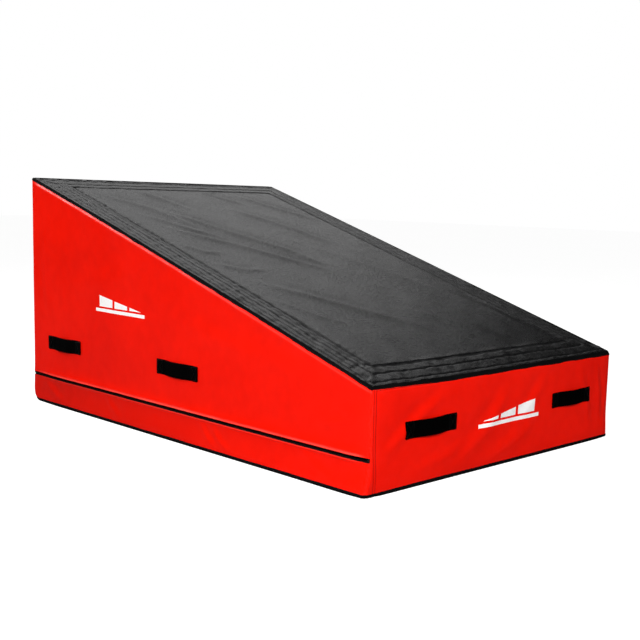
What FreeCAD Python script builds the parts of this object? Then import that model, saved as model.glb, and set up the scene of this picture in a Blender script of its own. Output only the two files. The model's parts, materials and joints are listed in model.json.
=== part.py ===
import FreeCAD, Part
import Sketcher
import os

# Incline wedge mat: a foam wedge in a sewn cover, for gymnastics and
# cheerleading.  Millimetres, +Z up.  The origin is the centre of the footprint
# on the floor.  The low end faces -Y, the tall end faces +Y.

os.makedirs("parts", exist_ok=True)
doc = FreeCAD.newDocument("incline_wedge_mat")
V = FreeCAD.Vector

# ---------------------------------------------------------------- dimensions
TABLE = [
    # the whole wedge
    ("width", 1219, "across the mat, cover to cover"),
    ("length", 1829, "along the mat, low end to tall end"),
    ("tall", 864, "height of the tall end"),
    ("lowend", 305, "height of the low end"),
    # cover
    ("trim", 1.5, "thickness of the edge bindings"),
    ("cover", 1.5, "coated vinyl with its scrim"),
    ("mesh", 2, "woven top sheet, measured upright"),
    ("facing", 1, "border facing on the top sheet, measured upright"),
    ("border", 120, "width of the border facing"),
    ("under", 2, "non-slip bottom sheet"),
    ("topbind", 11, "height of the binding on the top edge"),
    ("frontbind", 13, "height of the binding on the low top edge"),
    ("botbind", 6, "height of the binding on the bottom edge"),
    # foam
    ("slack", 3.2, "cover to foam"),
    ("layer", 37, "firm top layer of foam, measured upright"),
    ("split", 230, "top of the flat base block"),
    # zipper
    ("zipz", 107.5, "height of the zipper's centre line"),
    ("zipgap", 9, "opening in the cover that shows the zipper"),
    ("zipend", 6.5, "end of the zipper from the low end"),
    ("tape", 1.2, "zipper tape thickness"),
    ("tapewide", 14, "width of one half of the tape"),
    ("slit", 1.4, "gap between the two halves"),
    ("coiltall", 2.6, "height of one half of the coil"),
    ("coildeep", 2.4, "depth of the coil"),
    ("stoplong", 4, "length of an end stop"),
    # slider and pull tab
    ("slidelong", 17, "slider length"),
    ("slidewide", 13, "slider width at the nose"),
    ("plate", 1.2, "slider plate thickness"),
    ("play", 0.2, "clearance of the slider on the coil and tape"),
    ("crown", 4.3, "height of the crown over the outer plate"),
    ("crownwide", 2.4, "width of the crown"),
    ("pullfree", 1.5, "pull tab axis over the outer plate"),
    ("pulllong", 36, "pull tab length from its axis"),
    ("pullwide", 9, "pull tab width"),
    ("pullthick", 1.6, "pull tab thickness"),
    # carry handles, 2 inch webbing
    ("webwide", 51, "webbing width"),
    ("webthick", 2, "webbing thickness"),
    ("webspan", 152, "free span of a handle"),
    ("webend", 36, "sewn end of a handle"),
    ("webbow", 11, "outer face of the handle off the cover at mid span"),
    ("webgap", 0.3, "clearance of the free span at its ends"),
    ("patchlong", 246, "backing patch length"),
    ("patchtall", 76, "backing patch height"),
    ("patchthick", 1.2, "backing patch thickness"),
    # where the handles are
    ("sidehz", 241, "height of the side handles"),
    ("rearhy", 236, "rear side handle from the tall end"),
    ("midhy", 948, "middle side handle from the tall end"),
    ("fronthx", 361, "left front handle from the centre"),
    ("frontkx", 366, "right front handle from the centre"),
    ("fronthz", 172, "height of the left front handle"),
    ("frontkz", 170, "height of the right front handle"),
    ("backhx", 362, "back handles from the centre"),
    ("backhz", 241, "height of the back handles"),
]
sheet = doc.addObject("Spreadsheet::Sheet", "Dimensions")
sheet.Label = "Dimensions"
for row, (alias, value, note) in enumerate(TABLE, start=1):
    sheet.set("A%d" % row, note)
    sheet.set("B%d" % row, str(value))
    sheet.setAlias("B%d" % row, alias)
doc.recompute()


class Dim:
    """A length with its value and the expression that binds it to the sheet."""

    def __init__(self, value, text):
        self.value = float(value)
        self.text = text

    def __add__(self, other):
        other = lift(other)
        return Dim(self.value + other.value, "(%s + %s)" % (self.text, other.text))

    def __sub__(self, other):
        other = lift(other)
        return Dim(self.value - other.value, "(%s - %s)" % (self.text, other.text))

    def __mul__(self, other):
        other = lift(other)
        return Dim(self.value * other.value, "(%s * %s)" % (self.text, other.text))

    def __truediv__(self, other):
        other = lift(other)
        return Dim(self.value / other.value, "(%s / %s)" % (self.text, other.text))

    def __neg__(self):
        return Dim(-self.value, "(0 - %s)" % self.text)

    def __radd__(self, other):
        return lift(other) + self

    def __rsub__(self, other):
        return lift(other) - self

    def __rmul__(self, other):
        return lift(other) * self


def lift(number):
    return number if isinstance(number, Dim) else Dim(number, repr(float(number)))


D = {alias: Dim(value, "Dimensions.%s" % alias) for alias, value, note in TABLE}

# planes of the cover, measured from the centre
half_x = D["width"] / 2
half_y = D["length"] / 2
face_x = half_x - D["trim"]            # outer face of the side panels
face_y = half_y - D["trim"]            # outer face of the end panels
inner_x = face_x - D["cover"]
inner_y = face_y - D["cover"]
core_x = inner_x - D["slack"]
core_y = inner_y - D["slack"]
rise = (D["tall"] - D["lowend"]) / D["length"]


def slope(y, down=0):
    """Height of the sloping top at y, or of a layer `down` under it."""
    return D["lowend"] + (lift(y) + half_y) * rise - down


below_facing = D["facing"]
below_mesh = D["facing"] + D["mesh"]
below_layer = below_mesh + 1 + D["layer"]

NODES = []


# ------------------------------------------------------------------- helpers
def bind(obj, prop, dim):
    obj.setExpression(prop, dim.text)


def origin_plane(body, role):
    return [f for f in body.Origin.OriginFeatures if f.Role == role][0]


def outline(sketch, points, prefix, first=0):
    """A closed polygon with every corner bound to the sheet."""
    n = len(points)
    for i in range(n):
        (x0, y0), (x1, y1) = points[i], points[(i + 1) % n]
        sketch.addGeometry(
            Part.LineSegment(V(x0.value, y0.value, 0), V(x1.value, y1.value, 0)), False
        )
    for i in range(n):
        sketch.addConstraint(
            Sketcher.Constraint("Coincident", first + i, 2, first + (i + 1) % n, 1)
        )
    for i, (x, y) in enumerate(points):
        for kind, dim, tag in (("DistanceX", x, "x"), ("DistanceY", y, "y")):
            c = sketch.addConstraint(
                Sketcher.Constraint(kind, -1, 1, first + i, 1, dim.value)
            )
            name = "%s%d%s" % (prefix, i, tag)
            sketch.renameConstraint(c, name)
            sketch.setExpression("Constraints." + name, dim.text)
    return first + n


def new_body(label):
    body = doc.addObject("PartDesign::Body", label)
    body.Label = label
    NODES.append(body)
    return body


def new_sketch(body, name, role, offset):
    sketch = body.newObject("Sketcher::SketchObject", name)
    sketch.AttachmentSupport = [(origin_plane(body, role), "")]
    sketch.MapMode = "FlatFace"
    sketch.AttachmentOffset = FreeCAD.Placement(
        V(0, 0, offset.value), FreeCAD.Rotation()
    )
    sketch.setExpression("AttachmentOffset.Base.z", offset.text)
    return sketch


def pad(body, sketch, name, depth):
    feature = body.newObject("PartDesign::Pad", name)
    feature.Profile = sketch
    feature.Length = depth.value
    bind(feature, "Length", depth)
    return feature


def prism(label, role, points, start, depth):
    """One body: a polygon on an origin plane, padded along its normal."""
    points = [(lift(x), lift(y)) for x, y in points]
    body = new_body(label)
    sketch = new_sketch(body, label + "_outline", role, lift(start))
    outline(sketch, points, "p")
    pad(body, sketch, label + "_pad", lift(depth))
    return body


def box(name, low, size):
    """A rectangular block, a member of a group or of a boolean."""
    block = doc.addObject("Part::Box", name)
    for prop, dim in zip(("Length", "Width", "Height"), size):
        setattr(block, prop, lift(dim).value)
        bind(block, prop, lift(dim))
    low = [lift(c) for c in low]
    block.Placement.Base = V(*[c.value for c in low])
    for axis, dim in zip("xyz", low):
        bind(block, "Placement.Base." + axis, dim)
    return block


def group(label, members):
    node = doc.addObject("Part::Compound", label)
    node.Label = label
    node.Links = members
    NODES.append(node)
    return node


def place(body, base, rotation):
    body.Placement = FreeCAD.Placement(V(*[lift(c).value for c in base]), rotation)
    for axis, dim in zip("xyz", base):
        bind(body, "Placement.Base." + axis, lift(dim))


# The YZ plane's sketch axes are Y and Z and its normal is +X.
# The XZ plane's sketch axes are X and Z and its normal is -Y.
# The XY plane's sketch axes are X and Y and its normal is +Z.

# ---------------------------------------------------------------- foam core
core_low = D["under"] + 0.5
prism("core_base_block", "XY_Plane",
      [(-core_x, -core_y), (core_x, -core_y), (core_x, core_y), (-core_x, core_y)],
      core_low, D["split"] - core_low)
prism("core_wedge_block", "YZ_Plane",
      [(-core_y, D["split"]), (core_y, D["split"]),
       (core_y, slope(core_y, below_layer)), (-core_y, slope(-core_y, below_layer))],
      -core_x, core_x * 2)
prism("core_top_layer", "YZ_Plane",
      [(-core_y, slope(-core_y, below_layer)), (core_y, slope(core_y, below_layer)),
       (core_y, slope(core_y, below_mesh + 1)), (-core_y, slope(-core_y, below_mesh + 1))],
      -core_x, core_x * 2)

# ------------------------------------------------------------- cover panels
zip_low = D["zipz"] - D["zipgap"] / 2
zip_high = D["zipz"] + D["zipgap"] / 2
zip_y = D["zipend"] - half_y            # low end of the zipper on both sides

side_panel = [(-face_y, zip_high), (face_y, zip_high),
              (face_y, slope(face_y, below_mesh)), (-face_y, slope(-face_y, below_mesh))]
side_band = [(-face_y, D["under"]), (face_y, D["under"]), (face_y, zip_low),
             (zip_y, zip_low), (zip_y, zip_high), (-face_y, zip_high)]
prism("side_panel_left", "YZ_Plane", side_panel, -face_x, D["cover"])
prism("side_panel_right", "YZ_Plane", side_panel, inner_x, D["cover"])
prism("side_band_left", "YZ_Plane", side_band, -face_x, D["cover"])
prism("side_band_right", "YZ_Plane", side_band, inner_x, D["cover"])
prism("front_panel", "YZ_Plane",
      [(-face_y, D["under"]), (-inner_y, D["under"]),
       (-inner_y, slope(-inner_y, below_mesh)), (-face_y, slope(-face_y, below_mesh))],
      -inner_x, inner_x * 2)
prism("back_panel", "YZ_Plane",
      [(inner_y, zip_high), (face_y, zip_high),
       (face_y, slope(face_y, below_mesh)), (inner_y, slope(inner_y, below_mesh))],
      -inner_x, inner_x * 2)
prism("back_band", "YZ_Plane",
      [(inner_y, D["under"]), (face_y, D["under"]), (face_y, zip_low), (inner_y, zip_low)],
      -inner_x, inner_x * 2)

# ------------------------------------------------- top sheet and its borders
def layer_strip(y0, y1, top, bottom):
    return [(y0, slope(y0, bottom)), (y1, slope(y1, bottom)),
            (y1, slope(y1, top)), (y0, slope(y0, top))]


nil = lift(0)
prism("top_sheet", "YZ_Plane", layer_strip(-face_y, face_y, below_facing, below_mesh),
      -face_x, face_x * 2)
prism("top_border_left", "YZ_Plane", layer_strip(-face_y, face_y, nil, below_facing),
      -face_x, D["border"])
prism("top_border_right", "YZ_Plane", layer_strip(-face_y, face_y, nil, below_facing),
      face_x - D["border"], D["border"])
prism("top_border_low", "YZ_Plane",
      layer_strip(-face_y, D["border"] - face_y, nil, below_facing),
      D["border"] - face_x, (face_x - D["border"]) * 2)
prism("top_border_tall", "YZ_Plane",
      layer_strip(face_y - D["border"], face_y, nil, below_facing),
      D["border"] - face_x, (face_x - D["border"]) * 2)
prism("bottom_sheet", "XY_Plane",
      [(-face_x, -face_y), (face_x, -face_y), (face_x, face_y), (-face_x, face_y)],
      nil, D["under"])

# ------------------------------------------------------------ edge bindings
edge = layer_strip(-half_y, half_y, nil, D["topbind"])
prism("top_binding_left", "YZ_Plane", edge, -half_x, D["trim"])
prism("top_binding_right", "YZ_Plane", edge, face_x, D["trim"])
prism("top_binding_front", "YZ_Plane",
      [(-half_y, D["lowend"] - D["frontbind"]), (-face_y, D["lowend"] - D["frontbind"]),
       (-face_y, slope(-face_y)), (-half_y, slope(-half_y))],
      -face_x, face_x * 2)
prism("top_binding_back", "YZ_Plane",
      [(face_y, D["tall"] - D["topbind"]), (half_y, D["tall"] - D["topbind"]),
       (half_y, slope(half_y)), (face_y, slope(face_y))],
      -face_x, face_x * 2)

ring = new_body("bottom_binding")
ring_sketch = new_sketch(ring, "bottom_binding_outline", "XY_Plane", nil)
corner = outline(ring_sketch, [(-half_x, -half_y), (half_x, -half_y),
                               (half_x, half_y), (-half_x, half_y)], "o")
outline(ring_sketch, [(-face_x, -face_y), (face_x, -face_y),
                      (face_x, face_y), (-face_x, face_y)], "i", corner)
pad(ring, ring_sketch, "bottom_binding_pad", D["botbind"])


# ------------------------------------------------------------------- zipper
def u_run(out_x, out_y, deep, end_y):
    """A run down the left side, across the back and up the right side."""
    in_x, in_y = out_x - deep, out_y - deep
    return [(-out_x, end_y), (-in_x, end_y), (-in_x, in_y), (in_x, in_y),
            (in_x, end_y), (out_x, end_y), (out_x, out_y), (-out_x, out_y)]


tape_run = u_run(inner_x, inner_y, D["tape"], zip_y)
coil_run = u_run(inner_x + D["coildeep"], inner_y + D["coildeep"], D["coildeep"],
                 zip_y + D["stoplong"] + 0.3)
half_slit = D["slit"] / 2
prism("zipper_tape_upper", "XY_Plane", tape_run, D["zipz"] + half_slit, D["tapewide"])
prism("zipper_tape_lower", "XY_Plane", tape_run,
      D["zipz"] - half_slit - D["tapewide"], D["tapewide"])
prism("zipper_coil_upper", "XY_Plane", coil_run, D["zipz"] + half_slit, D["coiltall"])
prism("zipper_coil_lower", "XY_Plane", coil_run,
      D["zipz"] - half_slit - D["coiltall"], D["coiltall"])

stop_deep = D["coildeep"] + 0.4
stop_tall = (half_slit + D["coiltall"] + 0.4) * 2
group("zipper_end_stops", [
    box("end_stop_left", (-(inner_x + stop_deep), zip_y, D["zipz"] - stop_tall / 2),
        (stop_deep, D["stoplong"], stop_tall)),
    box("end_stop_right", (inner_x, zip_y, D["zipz"] - stop_tall / 2),
        (stop_deep, D["stoplong"], stop_tall)),
])

# Slider frame: X along the zipper towards the nose, Z out of the mat, the
# origin on the inner face of the cover.
back_z = -(D["tape"] + D["play"] + D["plate"])      # back of the inner plate
front_z = D["coildeep"] + D["play"]                 # back of the outer plate
outer_z = front_z + D["plate"]                      # front of the outer plate
half_l = D["slidelong"] / 2
half_w = D["slidewide"] / 2
tail_w = half_w - 1.6
nose = half_l - 2.5
slider_outline = [(-half_l, -tail_w), (-2.0, -tail_w), (3.0, -half_w), (nose, -half_w),
                  (half_l, -(half_w - 2.2)), (half_l, half_w - 2.2), (nose, half_w),
                  (3.0, half_w), (-2.0, tail_w), (-half_l, tail_w)]
flange_in = half_slit + D["coiltall"] + D["play"]
flange_out = D["zipgap"] / 2 - 0.3


def slider(label, base, rotation):
    body = new_body(label)
    s = new_sketch(body, label + "_inner_outline", "XY_Plane", back_z)
    outline(s, [(lift(x), lift(y)) for x, y in slider_outline], "p")
    pad(body, s, label + "_inner_plate", D["plate"])
    # post between the two halves of the coil, at the nose
    s = new_sketch(body, label + "_post_outline", "XY_Plane", back_z)
    post = half_slit - D["play"]
    outline(s, [(half_l - 5.0, -post), (half_l - 1.0, -post),
                (half_l - 1.0, post), (half_l - 5.0, post)], "p")
    pad(body, s, label + "_post", outer_z - back_z)
    s = new_sketch(body, label + "_outer_outline", "XY_Plane", front_z)
    outline(s, [(lift(x), lift(y)) for x, y in slider_outline], "p")
    pad(body, s, label + "_outer_plate", D["plate"])
    # flanges that hold the coil, just inside the opening in the cover
    for side, low, high in (("low", -flange_out, -flange_in), ("high", flange_in, flange_out)):
        s = new_sketch(body, "%s_%s_flange_outline" % (label, side), "XY_Plane", lift(0.4))
        outline(s, [(1.0 - half_l, low), (3.0 - half_l + 6.0, low),
                    (3.0 - half_l + 6.0, high), (1.0 - half_l, high)], "p")
        pad(body, s, "%s_%s_flange" % (label, side), outer_z - 0.4)
    # crown that carries the pull tab
    s = new_sketch(body, label + "_crown_outline", "XZ_Plane", -(D["crownwide"] / 2))
    root = outer_z - 0.2
    top = outer_z + D["crown"]
    arch = top - 1.3
    pts = [(-5.2, root), (-3.4, root), (-3.4, arch), (3.4, arch), (3.4, root), (5.2, root),
           (5.2, top - 1.0), (4.2, top), (-4.2, top), (-5.2, top - 1.0)]
    outline(s, [(lift(x), lift(y)) for x, y in pts], "p")
    pad(body, s, label + "_crown", D["crownwide"])
    place(body, base, rotation)
    return body


pull_z = outer_z + D["pullfree"]
pull_w = D["pullwide"] / 2


def pull_tab(label, base, rotation):
    body = new_body(label)
    s = new_sketch(body, label + "_outline", "XY_Plane", pull_z - D["pullthick"] / 2)
    pts = [(0.9, -3.6), (0.9, 3.6), (-1.2, 4.0), (-14.0, pull_w - 1.2),
           (-20.0, pull_w), (-(D["pulllong"] - 3.0), pull_w), (-D["pulllong"], pull_w - 3.0),
           (-D["pulllong"], -(pull_w - 3.0)), (-(D["pulllong"] - 3.0), -pull_w),
           (-20.0, -pull_w), (-14.0, -(pull_w - 1.2)), (-1.2, -4.0)]
    nxt = outline(s, [(lift(x), lift(y)) for x, y in pts], "o")
    # window that lets the crown through
    nxt = outline(s, [(lift(x), lift(y)) for x, y in
                      [(-0.9, -2.0), (-8.6, -2.0), (-8.6, 2.0), (-0.9, 2.0)]], "w", nxt)
    # finger hole near the end
    outline(s, [(lift(x), lift(y)) for x, y in
                [(3.5 - D["pulllong"], -1.4), (3.5 - D["pulllong"], 1.4),
                 (5.0 - D["pulllong"], 2.2), (12.0 - D["pulllong"], 2.2),
                 (13.0 - D["pulllong"], 1.4), (13.0 - D["pulllong"], -1.4),
                 (12.0 - D["pulllong"], -2.2), (5.0 - D["pulllong"], -2.2)]], "h", nxt)
    pad(body, s, label + "_plate", D["pullthick"])
    place(body, base, rotation)
    return body


face_out = FreeCAD.Rotation(V(1, 0, 0), -90)                      # nose towards +X
face_out_turned = FreeCAD.Rotation(V(0, 1, 0), 180).multiply(face_out)  # nose towards -X
slide_x = half_l + 0.5
left_base = (-slide_x, inner_y, D["zipz"])
right_base = (slide_x, inner_y, D["zipz"])
slider("slider_left", left_base, face_out)
slider("slider_right", right_base, face_out_turned)
pull_tab("pull_tab_left", left_base, face_out)
pull_tab("pull_tab_right", right_base, face_out_turned)

# ------------------------------------------------------------- carry handles
# Handle frame: X along the strap, -Y out of the mat, the origin on the cover.
half_free = D["webspan"] / 2 - D["webgap"]
sag = D["webbow"] - D["webthick"] - D["webgap"]
bend = (half_free * half_free + sag * sag) / (sag * 2)


def handle(label, base, turn):
    """The free span of one webbing handle, bowed off the cover."""
    body = new_body(label)
    s = new_sketch(body, label + "_profile", "XY_Plane", -(D["webwide"] / 2))
    near = -D["webgap"]
    far = -(D["webgap"] + D["webthick"])
    a, r = half_free.value, bend.value
    for level in (near, far):
        # bow towards -Y: the centre lies on the mat's side
        centre = V(0, level.value + (r - sag.value), 0)
        start = V(-a, level.value, 0)
        middle = V(0, level.value - sag.value, 0)
        end = V(a, level.value, 0)
        s.addGeometry(Part.Arc(start, middle, end), False)
    s.addGeometry(Part.LineSegment(V(-a, near.value, 0), V(-a, far.value, 0)), False)
    s.addGeometry(Part.LineSegment(V(a, near.value, 0), V(a, far.value, 0)), False)
    ends = {}
    for g in (0, 1):
        ends[g] = (1, 2) if s.getPoint(g, 1).x < 0 else (2, 1)
    s.addConstraint(Sketcher.Constraint("Coincident", 0, ends[0][0], 2, 1))
    s.addConstraint(Sketcher.Constraint("Coincident", 1, ends[1][0], 2, 2))
    s.addConstraint(Sketcher.Constraint("Coincident", 0, ends[0][1], 3, 1))
    s.addConstraint(Sketcher.Constraint("Coincident", 1, ends[1][1], 3, 2))
    for tag, geo, pos, kind, dim in (
        ("near_left_x", 2, 1, "DistanceX", -half_free), ("near_left_y", 2, 1, "DistanceY", near),
        ("far_left_x", 2, 2, "DistanceX", -half_free), ("far_left_y", 2, 2, "DistanceY", far),
        ("near_right_x", 3, 1, "DistanceX", half_free), ("near_right_y", 3, 1, "DistanceY", near),
        ("far_right_x", 3, 2, "DistanceX", half_free), ("far_right_y", 3, 2, "DistanceY", far),
    ):
        c = s.addConstraint(Sketcher.Constraint(kind, -1, 1, geo, pos, dim.value))
        s.renameConstraint(c, tag)
        s.setExpression("Constraints." + tag, dim.text)
    for tag, geo in (("near_bend", 0), ("far_bend", 1)):
        c = s.addConstraint(Sketcher.Constraint("Radius", geo, bend.value))
        s.renameConstraint(c, tag)
        s.setExpression("Constraints." + tag, bend.text)
    pad(body, s, label + "_pad", D["webwide"])
    place(body, base, FreeCAD.Rotation(V(0, 0, 1), turn))
    return body


rear_y = half_y - D["rearhy"]
mid_y = half_y - D["midhy"]
PLACES = {
    # side: (handle name, centre along the face, height)
    "left": [("handle_left_rear", rear_y, D["sidehz"]), ("handle_left_middle", mid_y, D["sidehz"])],
    "right": [("handle_right_rear", rear_y, D["sidehz"]), ("handle_right_middle", mid_y, D["sidehz"])],
    "front": [("handle_front_left", -D["fronthx"], D["fronthz"]),
              ("handle_front_right", D["frontkx"], D["frontkz"])],
    "back": [("handle_back_left", -D["backhx"], D["backhz"]),
             ("handle_back_right", D["backhx"], D["backhz"])],
}
half_web = D["webwide"] / 2
half_span = D["webspan"] / 2
half_patch = D["patchlong"] / 2
for side, straps in PLACES.items():
    ends, patches = [], []
    for name, along, up in straps:
        # the free span
        if side == "left":
            handle(name, (-face_x, along, up), -90)
        elif side == "right":
            handle(name, (face_x, along, up), 90)
        elif side == "front":
            handle(name, (along, -face_y, up), 0)
        else:
            handle(name, (along, face_y, up), 180)
        # the two ends sewn flat to the cover, and the patch behind them
        for tag, start in (("a", along - half_span - D["webend"]), ("b", along + half_span)):
            piece = name + "_end_" + tag
            if side in ("left", "right"):
                x = -face_x - D["webthick"] if side == "left" else face_x
                ends.append(box(piece, (x, start, up - half_web),
                                (D["webthick"], D["webend"], D["webwide"])))
            else:
                y = -face_y - D["webthick"] if side == "front" else face_y
                ends.append(box(piece, (start, y, up - half_web),
                                (D["webend"], D["webthick"], D["webwide"])))
        piece = name + "_patch"
        low_z = up - D["patchtall"] / 2
        if side in ("left", "right"):
            x = -inner_x if side == "left" else inner_x - D["patchthick"]
            patches.append(box(piece, (x, along - half_patch, low_z),
                               (D["patchthick"], D["patchlong"], D["patchtall"])))
        else:
            y = -inner_y if side == "front" else inner_y - D["patchthick"]
            patches.append(box(piece, (along - half_patch, y, low_z),
                               (D["patchlong"], D["patchthick"], D["patchtall"])))
    group("handle_ends_" + side, ends)
    group("handle_backing_" + side, patches)

# -------------------------------------------------------- build and write out
doc.recompute()
for obj in doc.Objects:
    if "Invalid" in obj.State or "Error" in obj.State:
        raise RuntimeError("%s failed: %s" % (obj.Label, obj.State))
for node in NODES:
    if node.Shape.isNull() or not node.Shape.isValid():
        raise RuntimeError("%s has no valid shape" % node.Label)
    if not node.Shape.Solids:
        raise RuntimeError("%s has no solid" % node.Label)
for node in NODES:
    node.Shape.exportStep("parts/%s.step" % node.Label)
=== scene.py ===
import json
import math
import bmesh
import bpy
import numpy as np
from mathutils import Matrix, Vector

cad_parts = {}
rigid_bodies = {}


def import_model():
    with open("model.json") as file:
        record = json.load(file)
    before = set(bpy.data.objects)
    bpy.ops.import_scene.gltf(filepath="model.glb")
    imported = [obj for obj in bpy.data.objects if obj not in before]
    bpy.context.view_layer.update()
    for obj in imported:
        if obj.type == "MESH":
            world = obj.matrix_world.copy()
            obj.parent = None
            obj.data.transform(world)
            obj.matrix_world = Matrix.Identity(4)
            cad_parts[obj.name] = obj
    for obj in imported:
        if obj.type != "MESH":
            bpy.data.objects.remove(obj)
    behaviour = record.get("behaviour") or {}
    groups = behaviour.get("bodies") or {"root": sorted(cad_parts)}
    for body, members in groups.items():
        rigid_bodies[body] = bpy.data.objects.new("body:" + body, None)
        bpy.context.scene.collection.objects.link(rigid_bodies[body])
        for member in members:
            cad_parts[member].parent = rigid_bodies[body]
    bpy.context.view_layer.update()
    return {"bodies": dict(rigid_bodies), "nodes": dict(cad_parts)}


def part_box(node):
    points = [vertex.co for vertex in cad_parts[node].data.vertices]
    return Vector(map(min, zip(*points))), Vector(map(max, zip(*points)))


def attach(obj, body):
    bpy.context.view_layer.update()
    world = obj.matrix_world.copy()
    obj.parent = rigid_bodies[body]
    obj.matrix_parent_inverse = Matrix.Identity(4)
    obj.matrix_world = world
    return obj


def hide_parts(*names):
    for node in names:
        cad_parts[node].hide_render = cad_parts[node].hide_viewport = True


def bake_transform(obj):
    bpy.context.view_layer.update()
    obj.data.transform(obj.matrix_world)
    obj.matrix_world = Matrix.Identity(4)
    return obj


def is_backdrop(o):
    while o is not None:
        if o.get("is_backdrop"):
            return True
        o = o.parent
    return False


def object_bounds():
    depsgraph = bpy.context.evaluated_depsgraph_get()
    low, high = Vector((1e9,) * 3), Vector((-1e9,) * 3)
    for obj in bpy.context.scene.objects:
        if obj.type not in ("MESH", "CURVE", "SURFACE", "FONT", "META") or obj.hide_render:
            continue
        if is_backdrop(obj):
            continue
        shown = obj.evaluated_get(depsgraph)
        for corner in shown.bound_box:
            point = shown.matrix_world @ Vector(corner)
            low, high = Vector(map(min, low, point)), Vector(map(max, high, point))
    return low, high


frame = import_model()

SCENE = bpy.context.scene
ROOT = "mat"
MM = 0.001

# ------------------------------------------------------------ frame numbers
def box(node):
    lo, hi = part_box(node)
    return np.array(lo, float), np.array(hi, float)


rim_lo, rim_hi = box("bottom_binding")
HX, HY = rim_hi[0], rim_hi[1]                       # half width, half length
edge_lo, edge_hi = box("top_binding_left")
front_lo, front_hi = box("top_binding_front")
TAN = (edge_hi[2] - front_hi[2]) / (edge_hi[1] - front_hi[1])
COS = 1 / math.sqrt(1 + TAN * TAN)
SIN = TAN * COS
H_TALL = edge_hi[2]
H_LOW = H_TALL - 2 * HY * TAN
H_MID = (H_TALL + H_LOW) / 2
band_lo, band_hi = box("side_band_left")
panel_lo, panel_hi = box("side_panel_left")
coil_lo, coil_hi = box("zipper_coil_upper")
back_lo, back_hi = box("back_band")
ZIP_LOW, ZIP_HIGH = back_hi[2] - 0.0044, panel_lo[2] + 0.0006
ZIP_Z = (back_hi[2] + ZIP_HIGH) / 2
ZIP_END = coil_lo[1]                                 # low end of the coil
TAPE_END = -HY + 0.0006                              # low end of the tape
BORDER = box("top_border_left")[1][0] - box("top_border_left")[0][0]


def top_z(y):
    return H_MID + np.asarray(y) * TAN


# ------------------------------------------------------------------- noise
def smooth(t):
    t = np.clip(t, 0, 1)
    return t * t * (3 - 2 * t)


def noise(u, v, size, seed):
    """Smooth value noise, about -1 to 1, with features about `size` metres across."""
    table = np.random.RandomState(seed).uniform(-1, 1, (64, 64))
    u, v = np.asarray(u) / size + 19.37, np.asarray(v) / size + 7.91
    u, v = np.broadcast_arrays(u, v)
    i, j = np.floor(u).astype(int), np.floor(v).astype(int)
    a, b = u - i, v - j
    a, b = a * a * a * (a * (a * 6 - 15) + 10), b * b * b * (b * (b * 6 - 15) + 10)
    i0, i1, j0, j1 = i % 64, (i + 1) % 64, j % 64, (j + 1) % 64
    return ((table[i0, j0] * (1 - a) + table[i1, j0] * a) * (1 - b)
            + (table[i0, j1] * (1 - a) + table[i1, j1] * a) * b)


def ridge(u, v, points, width, height, dip=0.5):
    """A soft fold along a broken line, with a shallow dip beside it."""
    best = np.full(np.broadcast(u, v).shape, 1e9)
    side = np.zeros_like(best)
    along = np.zeros_like(best)
    pts = np.array(points, float)
    seg = np.linalg.norm(np.diff(pts, axis=0), axis=1)
    start = np.concatenate([[0], np.cumsum(seg)])
    total = start[-1]
    for k in range(len(seg)):
        a, b = pts[k], pts[k + 1]
        d = (b - a) / seg[k]
        t = np.clip((u - a[0]) * d[0] + (v - a[1]) * d[1], 0, seg[k])
        dx, dy = u - a[0] - t * d[0], v - a[1] - t * d[1]
        dist = np.hypot(dx, dy)
        near = dist < best
        best = np.where(near, dist, best)
        side = np.where(near, dx * -d[1] + dy * d[0], side)
        along = np.where(near, start[k] + t, along)
    taper = smooth(along / (0.30 * total)) * smooth((total - along) / (0.34 * total))
    q = best / width
    bump = np.exp(-q * q)
    w = (side - 1.5 * width) / (1.25 * width)
    hollow = np.exp(-w * w) * np.exp(-np.maximum(q - 2.2, 0) ** 2)
    return height * taper * (bump - dip * hollow)


# -------------------------------------------------------- the soft outer form
NORMALS = np.array([[-1, 0, 0], [1, 0, 0], [0, -1, 0], [0, 1, 0],
                    [0, -SIN, COS], [0, 0, -1]], float)
OFFSETS = np.array([HX, HX, HY, HY, COS * H_MID, 0.0])


def corner_falloff(P, corner, reach):
    d = P - np.array(corner)
    return np.exp(-(d * d).sum(-1) / reach ** 2)


def radius(P):
    """How round the cover is at each place."""
    up = OFFSETS[4] - P @ NORMALS[4]                 # depth under the slope
    r = np.full(P.shape[:-1], 0.0095)
    r = r - 0.0005 * np.exp(-(up / 0.05) ** 2)
    r = r - 0.003 * np.exp(-(P[..., 2] / 0.05) ** 2)
    for sx in (-1, 1):
        r = r + 0.017 * corner_falloff(P * (0, 1, 1), (0, HY, 0.0), 0.032)
        r = r + 0.006 * corner_falloff(P, (sx * HX, -HY, 0.0), 0.07)
    return r


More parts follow.
